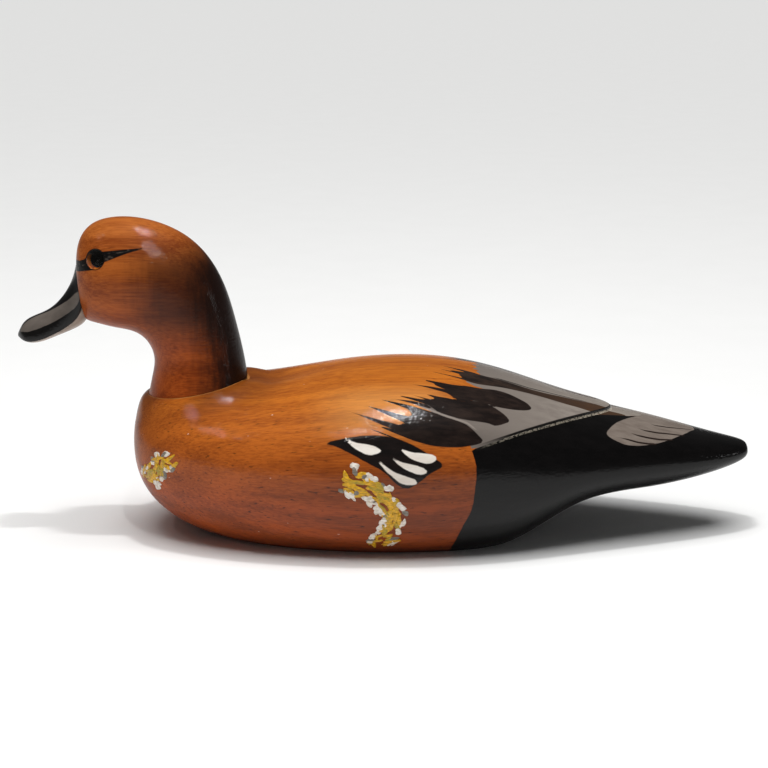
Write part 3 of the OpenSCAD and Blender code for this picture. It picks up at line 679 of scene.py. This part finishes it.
def tint_shade_and_sheen(tree, colour, shade, share, ramps):
    """Lays stain, painted shade or painted sheen on a colour. Each ramp: value, where it starts, where it is
    full.
    """
    for value, starts, full in ramps:
        ramp = add(tree, "MapRange", {"Value": value, "From Min": starts, "From Max": full},
                   interpolation_type="SMOOTHSTEP")
        share = add(tree, "Math", {0: share, 1: ramp}, operation="MULTIPLY")
    return add(tree, "Mix", {SHARE: share, UNDER: colour, OVER: shade}, data_type="RGBA")


def patch(tree, colour, name, coat, ragged, soft):
    """Lays a coat of paint over a colour, inside the patch that a piece keeps under a name."""
    depth = add(tree, "Attribute", out="Fac", attribute_name=name)
    depth = add(tree, "Math", {0: depth, 1: ragged}, operation="ADD")
    mask = add(tree, "MapRange", {"Value": depth, "From Min": -soft, "From Max": soft},
               interpolation_type="SMOOTHSTEP")
    return add(tree, "Mix", {SHARE: mask, UNDER: colour, OVER: coat}, data_type="RGBA")


def feather_points(tree, along, lean):
    """Ragged edge of the feathers' fronts: a slanted zigzag of points, uneven in pitch and reach."""
    slant = add(tree, "Math", {0: along, 1: -math.radians(STREAK_SLOPE) / MM, 2: lean},
                operation="MULTIPLY_ADD")
    across = add(tree, "Math", {0: slant, 1: math.degrees(1) / TOOTH_PITCH}, operation="MULTIPLY")
    drift = add(tree, "TexNoise", {"W": across, "Scale": 0.6, "Detail": 0.0}, noise_dimensions="1D")
    across = add(tree, "Math", {0: drift, 1: TOOTH_DRIFT, 2: across}, operation="MULTIPLY_ADD")
    teeth = add(tree, "Math", {0: across, 1: 1.0}, operation="PINGPONG")
    reach = add(tree, "TexNoise", {"W": across, "Scale": 0.8, "Detail": 0.0}, noise_dimensions="1D")
    reach = add(tree, "MapRange", {"Value": reach, "From Min": 0.3, "From Max": 0.7,
                                   "To Min": 0.25, "To Max": 1.2})
    teeth = add(tree, "Math", {0: teeth, 1: reach}, operation="MULTIPLY")
    teeth = add(tree, "MapRange", {"Value": teeth, "To Min": -TOOTH_REACH, "To Max": TOOTH_REACH},
                clamp=False)
    front = add(tree, "Attribute", out="Fac", attribute_name="wing_front")
    return add(tree, "Math", {0: teeth, 1: front}, operation="MULTIPLY")


def painted_body(tree):
    """Carved softwood, stained orange on the back and red-brown below, painted in oils and lacquered.

    The eye sees grain through the stain, dry-brushed feather ends, thin painted lines and broken gloss.
    """
    place = add(tree, "TexCoord", out="Object")
    along, aside, high = add(tree, "SeparateXYZ", {0: place}).node.outputs
    aside = add(tree, "Math", {0: aside}, operation="ABSOLUTE")
    up = add(tree, "Math", {0: high, 1: BELLY_MIDDLE * MM}, operation="SUBTRACT")
    lean = add(tree, "Math", {0: aside, 1: up}, operation="ARCTAN2")
    neck = add(tree, "VectorMath", {0: place, 1: Vector(SEAT) * MM}, operation="DISTANCE")

    back, height = wood_figure(tree, "#bd6d20", "#974d15")
    low, _ = wood_figure(tree, "#ae4f1d", "#7e3712", pored=1.0)
    colour = graded(tree, high, 28 * MM, 88 * MM, low, back)
    # Darker low at the rear and on the breast, painted shade behind the neck, and a painted sheen along the
    # back.
    darkening_and_painted_light = (
        ("#3a1609", 0.42, ((along, -105 * MM, 30 * MM), (high, 62 * MM, 34 * MM))),
        # Painted shade in the valley behind the neck.
        ("#4a2009", 0.62, ((neck, 60 * MM, 28 * MM), (along, -108 * MM, -90 * MM), (high, 66 * MM, 78 * MM))),
        ("#4a2009", 0.32, ((along, -98 * MM, -128 * MM), (high, 94 * MM, 78 * MM), (high, 34 * MM, 58 * MM))),
        # Painted sheen: light painted high on the sides of the back.
        ("#f3b566", 0.26, ((lean, math.radians(30), math.radians(50)),
                           (lean, math.radians(75), math.radians(60)),
                           (along, -46 * MM, -8 * MM), (along, 42 * MM, 18 * MM))),
    )
    for shade, share, ramps in darkening_and_painted_light:
        colour = tint_shade_and_sheen(tree, colour, shade, share, ramps)
    scuffs = pattern(tree, (5, 1.5, 1.5), Detail=1.0)
    colour = graded(tree, scuffs, 0.2, 0.15, colour, "#d8b79c")

    worn = pattern(tree, (16, 4, 4), Detail=5.0, Roughness=0.65)
    worn = add(tree, "MapRange", {"Value": worn, "From Min": 0.4, "From Max": 0.7})
    wobble = pattern(tree, (5, 3, 3), Detail=2.0)
    wobble = add(tree, "MapRange", {"Value": wobble, "To Min": -0.3, "To Max": 0.3})
    points = feather_points(tree, along, lean)
    wing_grey = graded(tree, along, 35 * MM, 105 * MM, "#6a625c", "#8f867d")
    stripe_dark = graded(tree, along, 62 * MM, 104 * MM, "#17110f", "#46301f")
    # Coats from the first to the last: attribute, colour, colour where the coat is thin, ragged edge.
    coats = (
        ("grey_wing", wing_grey, "#786f68", wobble),
        ("back_stripe", stripe_dark, "#3b2c23", points),
        ("dark_feathers", "#150e0c", "#2c211c", points),
        ("rump", "#040303", "#0a0808", wobble),
        ("tail_grey", "#7d7269", "#6a5f57", wobble),
        ("flank_patch", "#0f0b0a", "#1c1412", wobble),
        ("flank_tears", "#f0e8de", "#e0d5c8", wobble),
        ("seat_wear", "#b87b41", "#8f5222", wobble),
    )
    for name, fresh, thin, ragged in coats:
        coat = add(tree, "Mix", {SHARE: worn, UNDER: fresh, OVER: thin}, data_type="RGBA")
        colour = patch(tree, colour, name, coat, ragged, BODY_SOFT)

    for k, (shade, *_) in enumerate(BRUSHED_LINES):
        line = add(tree, "Attribute", out="Vector", attribute_name=LINE_NAME % k)
        off, half, _ = add(tree, "SeparateXYZ", {0: line}).node.outputs
        off = add(tree, "Math", {0: off}, operation="ABSOLUTE")
        inside = add(tree, "Math", {0: half, 1: off}, operation="SUBTRACT")
        colour = graded(tree, inside, -LINE_SOFT, LINE_SOFT, colour, shade)

    rim = add(tree, "Attribute", out="Fac", attribute_name="wing_rim")
    rim_share = add(tree, "Attribute", out="Fac", attribute_name="rim_share")
    specks = pattern(tree, (1.6, 1.0, 1.0), Detail=3.0)
    specks = add(tree, "MapRange", {"Value": specks, "From Min": 0.36, "From Max": 0.56})
    # Pale specks along the step under the wing: partly bare priming, partly a painted reflection on the
    # step's face.
    # A black line runs on the wing above the step.
    for start, end, shade, share in ((0.1, 1.2, "#c0b6a4", specks), (-1.3, 0.1, "#0a0807", 1.0)):
        mask = add(tree, "Math", {0: rim_share, 1: share}, operation="MULTIPLY")
        for limit, soft in ((start, RIM_SOFT), (end, -RIM_SOFT)):
            into = add(tree, "MapRange", {"Value": rim, "From Min": limit - soft, "From Max": limit + soft})
            mask = add(tree, "Math", {0: mask, 1: into}, operation="MULTIPLY")
        colour = add(tree, "Mix", {SHARE: mask, UNDER: colour, OVER: shade}, data_type="RGBA")
    grain, peel = brushed_lacquer(tree, height)
    return {"Base Color": colour, "Normal": grain, "Coat Normal": peel, **LACQUER}


def painted_head(tree):
    """The same stained wood on the head, rubbed nearly black down the nape, with a black wedge at the eye."""
    place = add(tree, "TexCoord", out="Object")
    along, _, high = add(tree, "SeparateXYZ", {0: place}).node.outputs
    low, height = wood_figure(tree, "#a54d19", "#7b330c")
    light, _ = wood_figure(tree, "#ad6128", "#843f14")
    colour = graded(tree, high, 100 * MM, 160 * MM, low, light)
    streaks = pattern(tree, (2.5, 2.5, 30), Detail=3.0)
    streaks = add(tree, "MapRange", {"Value": streaks, "To Min": -6 * MM, "To Max": 6 * MM})
    back = add(tree, "Math", {0: along, 1: streaks}, operation="ADD")
    shift = add(tree, "MapRange", {"Value": high, "From Min": 122 * MM, "From Max": 96 * MM,
                                   "To Min": 0.0, "To Max": -8 * MM})
    nape = add(tree, "Math", {0: back, 1: shift}, operation="ADD")
    # Darker brown behind the cheek, then a nearly black stain down the nape.
    cheek = ((back, -138 * MM, -111 * MM), (high, 97 * MM, 118 * MM), (high, 160 * MM, 136 * MM))
    colour = tint_shade_and_sheen(tree, colour, "#2a1008", 0.78, cheek)
    colour = tint_shade_and_sheen(tree, colour, "#170905", 1.0, ((nape, -113 * MM, -86 * MM), (high, 162 * MM, 136 * MM)))
    scuffs = pattern(tree, (4, 1.2, 1.2), Detail=4.0)
    black = graded(tree, scuffs, 0.56, 0.7, "#0a0807", "#4b433c")
    for name, coat in (("eye_wedge", black), ("eye_socket", "#080605")):
        colour = patch(tree, colour, name, coat, 0.0, HEAD_SOFT)
    grain, peel = brushed_lacquer(tree, height)
    return {"Base Color": colour, "Normal": grain, "Coat Normal": peel, **LACQUER, "Coat Weight": 0.26}


def painted_bill(tree):
    """Bill in black oil paint with a grey patch on each side and a pale lower mandible, under lacquer."""
    cloud = pattern(tree, (7, 4, 4), Detail=4.0)
    ragged = add(tree, "MapRange", {"Value": cloud, "To Min": -0.35, "To Max": 0.35})
    colour = add(tree, "Mix", {SHARE: cloud, UNDER: "#060505", OVER: "#12100f"}, data_type="RGBA")
    for name, dark, light in (("bill_patch", "#4d4641", "#6a625b"), ("mandible", "#8f7f74", "#b8aa9e")):
        coat = add(tree, "Mix", {SHARE: cloud, UNDER: dark, OVER: light}, data_type="RGBA")
        colour = patch(tree, colour, name, coat, ragged, HEAD_SOFT)
    _, peel = brushed_lacquer(tree, cloud)
    return {"Base Color": colour, "Coat Normal": peel, **LACQUER}


def thick_paint(first, second):
    """Oil paint laid on thick with a stiff brush: ridged strokes in two shades that were never mixed."""
    def surface(tree):
        ridges = pattern(tree, (2.4, 1.0, 1.0), Detail=3.0)
        colour = graded(tree, ridges, 0.38, 0.62, first, second)
        bump = add(tree, "Bump", {"Height": ridges, "Strength": 0.9, "Distance": 0.5 * MM})
        return {"Base Color": colour, "Roughness": 0.35, "Normal": bump, "IOR": 1.5}
    return surface


def oiled_pine(tree):
    """Bottom board and dowel in pine with an oiled, satin face: plain grain, no gloss coat."""
    colour, height = wood_figure(tree, "#b5834c", "#8a5a2d")
    grain = add(tree, "Bump", {"Height": height, "Strength": 0.5, "Distance": 0.15 * MM})
    return {"Base Color": colour, "Roughness": 0.55, "Normal": grain, "IOR": 1.5}


def dulled_brass(tree):
    """Drawn brass wire and turned screw heads, gone brown in patches, with a soft metal sheen."""
    dull = pattern(tree, (4, 4, 4), Detail=5.0)
    dull = add(tree, "MapRange", {"Value": dull, "From Min": 0.42, "From Max": 0.66})
    colour = add(tree, "Mix", {SHARE: dull, UNDER: "#c9a45a", OVER: "#7c5c2b"}, data_type="RGBA")
    rough = add(tree, "MapRange", {"Value": dull, "To Min": 0.28, "To Max": 0.5})
    scratches = pattern(tree, (0.4, 3, 3))
    fine = add(tree, "Bump", {"Height": scratches, "Strength": 0.2, "Distance": 0.05 * MM})
    return {"Base Color": colour, "Metallic": 1.0, "Roughness": rough, "Normal": fine}


def zinc_steel(tree):
    """Bright zinc plating on steel: cool grey metal with a faint cloudy spangle."""
    spangle = pattern(tree, (3, 3, 3), "TexVoronoi")
    colour = add(tree, "Mix", {SHARE: spangle, UNDER: "#c6c9cc", OVER: "#9fa3a8"}, data_type="RGBA")
    rough = add(tree, "MapRange", {"Value": spangle, "To Min": 0.26, "To Max": 0.42})
    return {"Base Color": colour, "Metallic": 1.0, "Roughness": rough}


def cast_ballast(tree):
    """Dull grey sand-cast metal with a pitted face. The sand is drawn coarser than real sand, to show."""
    sand = pattern(tree, (1.1, 1.1, 1.1), Detail=4.0)
    colour = add(tree, "Mix", {SHARE: sand, UNDER: "#55585a", OVER: "#85888a"}, data_type="RGBA")
    pits = add(tree, "Bump", {"Height": sand, "Strength": 0.7, "Distance": 0.25 * MM})
    return {"Base Color": colour, "Metallic": 0.7, "Roughness": 0.6, "Normal": pits}


def blown_glass(tree):
    """Clear polished glass of the eye, which bends the light to the enamel behind it."""
    ripple = pattern(tree, (6, 6, 6))
    wave = add(tree, "Bump", {"Height": ripple, "Strength": 0.05, "Distance": 0.1 * MM})
    return {"Base Color": "#fffaf2", "Roughness": 0.02, "IOR": 1.2, "Transmission Weight": 1.0,
            "Normal": wave}


def eye_frame(side):
    """Frame of an eye socket, with z out of the head. Side 1 is the bird's left."""
    angle = math.radians(side * EYE_ANGLE)
    nudge = 0.001

    def at(level, turn):
        return head_place(np.array(level), np.array(turn))

    along = at(EYE_PLACE + nudge, angle) - at(EYE_PLACE - nudge, angle)
    around = at(EYE_PLACE, angle + nudge) - at(EYE_PLACE, angle - nudge)
    out = Vector(np.cross(along, around)).normalized()
    if out.y * side > 0:
        out = -out
    middle = Matrix.Translation(Vector(at(EYE_PLACE, angle)) * MM)
    return middle @ Vector((0, 0, 1)).rotation_difference(out).to_matrix().to_4x4()


def fired_iris(side):
    """Enamel behind an eye: black pupil in an orange ring, painted shade at its top and painted light low in
    front.
    """
    def surface(tree):
        middle = eye_frame(side) @ Vector((0, 0, -EYE_DEPTH * MM))
        place = add(tree, "TexCoord", out="Object")
        away = add(tree, "VectorMath", {0: place, 1: middle}, operation="SUBTRACT")
        along, _, above = add(tree, "SeparateXYZ", {0: away}).node.outputs
        above = add(tree, "Math", {0: along, 1: IRIS_SLOPE, 2: above}, operation="MULTIPLY_ADD")
        flecks = pattern(tree, (0.7, 0.7, 0.7), Detail=2.0)
        ring = add(tree, "Mix", {SHARE: flecks, UNDER: "#ee7a18", OVER: "#ffa53c"}, data_type="RGBA")
        # Painted shade darkens the ring toward its top.
        ring = graded(tree, above, IRIS_LIT * MM, IRIS_SHADED * MM, ring, "#1d0b05")
        # The pupil is set off the middle, leaving a painted crescent of light low and in front.
        pupil = middle + Vector(PUPIL_OFFSET) * MM
        reach = add(tree, "VectorMath", {0: place, 1: pupil}, operation="DISTANCE")
        outside, inside = (PUPIL_RADIUS + PUPIL_SOFT) * MM, (PUPIL_RADIUS - PUPIL_SOFT) * MM
        colour = graded(tree, reach, outside, inside, ring, "#050404")
        return {"Base Color": colour, "Roughness": 0.25, "IOR": 1.5}
    return surface


def matt_board(tree):
    """Plain pale studio board with a faint paper mottle."""
    mottle = pattern(tree, (40, 40, 40))
    colour = add(tree, "Mix", {SHARE: mottle, UNDER: "#f3f3f2", OVER: "#f6f6f5"}, data_type="RGBA")
    return {"Base Color": colour, "Roughness": 0.9, "Specular IOR Level": 0.1}


def on_skin(x, lean):
    """Place and normal of the body's left side, from a place in mm and degrees."""
    ray = Vector((0, -math.sin(math.radians(lean)), math.cos(math.radians(lean))))
    start = (Vector((x, 0, BELLY_MIDDLE)) + ray * OUTSIDE) * MM
    _, place, normal, _ = body.ray_cast(start, -ray)
    return place, normal


def daubs(mesh, path, count, seed):
    """Short flat dabs of thick paint along a path: ochre inside, white and grey along both sides.

    They are worn flat where they would stand wider than the body.
    """
    widest = cad_box[0][1]
    dice = np.random.default_rng(seed)
    path = np.array(path, float)
    run = np.concatenate([[0], np.cumsum(np.linalg.norm(np.diff(path, axis=0), axis=1))])

    def on_path(s):
        return np.array([np.interp(s, run, path[:, i]) for i in (0, 1)])

    for k in range(count):
        s = run[-1] * (k + 0.5) / count
        way = on_path(s + 1) - on_path(s - 1)
        way = way / np.linalg.norm(way)
        side = np.array([-way[1], way[0]]) * dice.choice([-1, 1])
        reach, length, width, finishes = MIDDLE_DAB if k % 2 else EDGE_DAB
        place = on_path(s) + side * dice.uniform(*reach) * DAUB_HALF
        spot, normal = on_skin(*place)
        tip, _ = on_skin(*(place + way * DAB_STEP))
        spin = Matrix.Rotation(dice.uniform(-DAB_TURN, DAB_TURN), 3, normal)
        along = spin @ (tip - spot).normalized()
        across = normal.cross(along).normalized()
        sizes = (dice.uniform(*length), dice.uniform(*width), dice.uniform(*DAB_HIGH))
        shape = Matrix([axis * size for axis, size in zip((along, across, normal), sizes)]).transposed()
        made = bmesh.ops.create_icosphere(mesh, subdivisions=2, radius=MM,
                                          matrix=Matrix.Translation(spot) @ shape.to_4x4())
        chosen = int(dice.choice(finishes))
        for vert in made["verts"]:
            vert.co = spot + (vert.co - spot) * (1 + DAUB_ROUGH * noise.noise(vert.co / (DAUB_LUMP * MM)))
            over = widest - vert.co.y
            vert.co.y += max(over, 0) * (1 - DAUB_FLAT)
            for face in vert.link_faces:
                face.material_index = chosen
                face.smooth = True


body = piece("carved_body", skin(body_place, BODY_RINGS, BODY_SIDES))
with opened(body) as trimmed:
    bmesh.ops.bisect_plane(trimmed, geom=trimmed.verts[:] + trimmed.edges[:] + trimmed.faces[:], dist=TINY,
                           plane_co=(0, 0, 0), plane_no=(0, 0, 1), clear_inner=True)
    bmesh.ops.holes_fill(trimmed, edges=trimmed.edges)
    bmesh.ops.recalc_face_normals(trimmed, faces=trimmed.faces)
hollow = piece("hollow", skin(hollow_place, HOLLOW_RINGS, HOLLOW_SIDES))
carve(hollow, [peg(BOSS_RADIUS, -NECK_SHELF, SEAT_PAST, neck_frame())])
hollow_cutter = bmesh.new()
hollow_cutter.from_mesh(hollow.data)
bpy.data.objects.remove(hollow)
carve(body, [
    peg(NECK_RADIUS + SEAT_GAP, 0, SEAT_PAST, neck_frame()),
    peg(BOLT_BORE, -NECK_SHELF - WASHER_THICK, BORE_PAST, neck_frame()),
    hollow_cutter,
    board_cutter(REBATE_MARGIN, -REBATE_PAST, BOARD_THICK),
    board_cutter(OPENING_MARGIN, -OPENING_PAST, LEDGE_TOP + OPENING_RISE),
])
# The flat bottom is one wide face, so it is cut across where the paint on it changes.
with opened(body) as cut:
    for x in range(*RUMP_CUTS):
        flat = [face for face in cut.faces if face.normal.z < DOWNWARD and face.calc_center_median().z < MM]
        rims = {edge for face in flat for edge in face.edges}
        corners = {vert for face in flat for vert in face.verts}
        bmesh.ops.bisect_plane(cut, geom=flat + list(rims) + list(corners), dist=TINY,
                               plane_co=(x * MM, 0, 0), plane_no=(1, 0, 0))
round_off(body)

spots = points_of(body)
lean = leaning(spots)
chart = np.stack([spots[:, 0], lean], 1)
paint(body, "grey_wing", depth_in(chart, np.array(GREY_WING)))
paint(body, "back_stripe", depth_in(chart, softened(BACK_STRIPE, 1)))
paint(body, "dark_feathers", deepest(chart, (LOW_FEATHER, MIDDLE_FEATHER, HIGH_FEATHER)))
paint(body, "tail_grey", depth_in(chart, softened(TAIL_GREY)))
paint(body, "flank_patch", depth_in(chart, softened(FLANK_PATCH, 1)))
paint(body, "flank_tears", deepest(chart, FLANK_TEARS))
from_seat = (spots - SEAT) @ np.array(neck_frame().to_3x3())
past_seat = np.hypot(from_seat[:, 0], from_seat[:, 1]) - NECK_RADIUS - SEAT_GAP
worn_seat = SEAT_WEAR - np.maximum(past_seat, 0)
paint(body, "seat_wear", np.where(from_seat[:, 2] > -SEAT_DEEP, worn_seat, -DEEPEST))
front_x = FRONT_X + (FRONT_LEAN - lean) * FRONT_SLANT
paint(body, "wing_front", smooth(1 - (chart[:, 0] - front_x) / FRONT_FADE) * (lean < FRONT_LOWEST))
for k, (_, *line) in enumerate(BRUSHED_LINES):
    brush_line(body, LINE_NAME % k, chart, *line)

# Distance from the carved edge of the wing, positive behind it. Its paint lines fade out low on the flank.
edge_angles = np.radians(np.linspace(-WING_LOW, WING_LOW, EDGE_POINTS))
edge = carved_skin(np.full(EDGE_POINTS, WING_RING + STEP_RUN / 2), edge_angles)
near = np.array([np.linalg.norm(edge - spot, axis=1).min() for spot in spots])
left_edge = edge[EDGE_POINTS // 2:]
edge_lean = leaning(left_edge)
rim = np.where(spots[:, 0] > np.interp(lean, edge_lean, left_edge[:, 0]), near, -near)
paint(body, "wing_rim", rim)
on_edge = (lean > RUMP_TOP) & (lean < edge_lean[-1])
paint(body, "rump", np.where(on_edge, rim, depth_in(chart, np.array(RUMP))))
paint(body, "rim_share", smooth((edge_lean[-1] - lean) / RIM_FADE))
stands_for(body, "body_shell", "decoy_body",
           finish("stained_and_painted_softwood", painted_body))

head = piece("carved_head", skin(head_place, HEAD_RINGS, HEAD_SIDES))
socket_floor = -EYE_DEPTH - IRIS_THICK - EYE_GAP
carve(head, [peg(EYE_RADIUS + EYE_GAP, socket_floor, SOCKET_PAST, eye_frame(side)) for side in (1, -1)])
round_off(head)
paint(head, "eye_wedge", depth_in(points_of(head)[:, [0, 2]], softened(EYE_WEDGE, 1)))
to_eye = []
for side in (1, -1):
    middle = np.array(eye_frame(side).translation) / MM
    axis = np.array(eye_frame(side).col[2])[:3]
    away = points_of(head) - middle
    to_eye.append(np.linalg.norm(away - np.clip(away @ axis, -EYE_DEPTH * 2, None)[:, None] * axis, axis=1))
paint(head, "eye_socket", EYE_RADIUS + SOCKET_LINE - np.min(to_eye, axis=0))
stands_for(head, "head", "turning_head", finish("stained_softwood_head", painted_head))

bill = piece("carved_bill", skin(bill_place, BILL_RINGS, BILL_SIDES))
round_off(bill)
turned = np.array([value.value for value in bill.data.attributes["turned"].data])
wrapped = np.stack([points_of(bill)[:, 0], turned / BILL_DEGREES_PER_MM], 1)
side_patch = softened(np.array(BILL_PATCH) / (1, BILL_DEGREES_PER_MM))
paint(bill, "bill_patch", depth_in(wrapped, side_patch))
paint(bill, "mandible", (turned - MOUTH_ANGLE) / BILL_DEGREES_PER_MM)
stands_for(bill, "bill", "turning_head", finish("oil_painted_bill", painted_bill))

# Finishes of the CAD nodes that are shown as they are.
NODE_FINISHES = (
    ("oiled_pine", oiled_pine, ("bottom_board", "bill_dowel")),
    ("dulled_brass", dulled_brass, ("board_screws", "ballast_screws", "line_staple", "line_ring")),
    ("zinc_plated_steel", zinc_steel,
     ("eye_wires", "neck_bolt", "neck_washer", "spring_washer", "lock_nut")),
    ("polished_eye_glass", blown_glass, ("eye_glass_left", "eye_glass_right")),
    ("sand_cast_ballast", cast_ballast, ("ballast_weight",)),
    ("fired_enamel_iris_left", fired_iris(1), ("eye_iris_left",)),
    ("fired_enamel_iris_right", fired_iris(-1), ("eye_iris_right",)),
)
for name, surface, nodes in NODE_FINISHES:
    material = finish(name, surface)
    for node in nodes:
        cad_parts[node].material_slots[0].material = material

dabs = bmesh.new()
daubs(dabs, FLANK_DAUB, FLANK_DABS, FLANK_SEED)
daubs(dabs, BREAST_DAUB, BREAST_DABS, BREAST_SEED)
daub_piece = piece("paint_daubs", dabs)
# In the order of the finish numbers of the dabs: name and two shades.
DAUB_FINISHES = (
    ("thick_ochre_paint", "#ecb414", "#b98a12"),
    ("thick_olive_paint", "#9a861c", "#c9a01e"),
    ("thick_white_paint", "#f2eae0", "#cfc2b2"),
    ("thick_grey_paint", "#8d857a", "#6a6258"),
)
for name, first, second in DAUB_FINISHES:
    daub_piece.data.materials.append(finish(name, thick_paint(first, second)))
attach(daub_piece, "decoy_body")

# Floor, light and camera, in metres and watts.
FLOOR_HALF = 15.0
BODY_AIM, HEAD_AIM = (0.0, 0.0, 0.06), (-0.12, 0.0, 0.15)
# Soft lights: name, place, width, height, power and the point that they face.
SOFTBOXES = (
    ("overhead_softbox", (0.0, -0.03, 1.1), 0.12, 0.03, 3.4, BODY_AIM),
    ("head_strip", (-0.05, -0.22, 0.39), 0.012, 0.09, 0.24, HEAD_AIM),
    ("right_strip", (1.1, -0.28, 0.37), 0.08, 0.06, 0.22, BODY_AIM),
    ("left_spot", (-0.7, -0.3, 1.1), 0.04, 0.04, 0.5, BODY_AIM),
)
SUN_POWER, SUN_SPREAD, ROOM_COLOUR, ROOM_LIGHT = 2.4, 50, "#fbfbfb", 0.09
TARGET = Vector((-0.001, 0.0, 0.0757))
ELEVATION = math.radians(14.5)
CAMERA_AWAY, LENS, SENSOR = 0.9, 81.13, 36.0


def aimed(name, data, place, aim):
    """Puts a light or a camera at a place, facing a point."""
    made = bpy.data.objects.new(name, data)
    made.location = place
    made.rotation_euler = (Vector(aim) - Vector(place)).to_track_quat("-Z", "Y").to_euler()
    bpy.context.scene.collection.objects.link(made)
    return made


floor_mesh = bmesh.new()
bmesh.ops.create_grid(floor_mesh, x_segments=2, y_segments=2, size=FLOOR_HALF)
floor = piece("floor", floor_mesh)
floor.data.materials.append(finish("matt_studio_board", matt_board))

for name, place, width, height, power, aim in SOFTBOXES:
    light = bpy.data.lights.new(name, "AREA")
    light.shape = "RECTANGLE"
    light.size, light.size_y = width, height
    light.energy = power
    aimed(name, light, place, aim).visible_camera = False

sun = bpy.data.objects.new("even_light", bpy.data.lights.new("even_light", "SUN"))
sun.data.energy = SUN_POWER
sun.data.angle = math.radians(SUN_SPREAD)
sun.visible_glossy = False
bpy.context.scene.collection.objects.link(sun)

world = bpy.data.worlds.new("pale_room")
world.use_nodes = True
room = world.node_tree.nodes["Background"].inputs
room["Color"].default_value = linear(ROOM_COLOUR)
room["Strength"].default_value = ROOM_LIGHT
bpy.context.scene.world = world
bpy.context.scene.view_settings.view_transform = "Standard"

away = CAMERA_AWAY * Vector((0, -math.cos(ELEVATION), math.sin(ELEVATION)))
camera = aimed("camera", bpy.data.cameras.new("camera"), TARGET + away, TARGET)
camera.data.lens = LENS
camera.data.sensor_width = SENSOR
bpy.context.scene.camera = camera
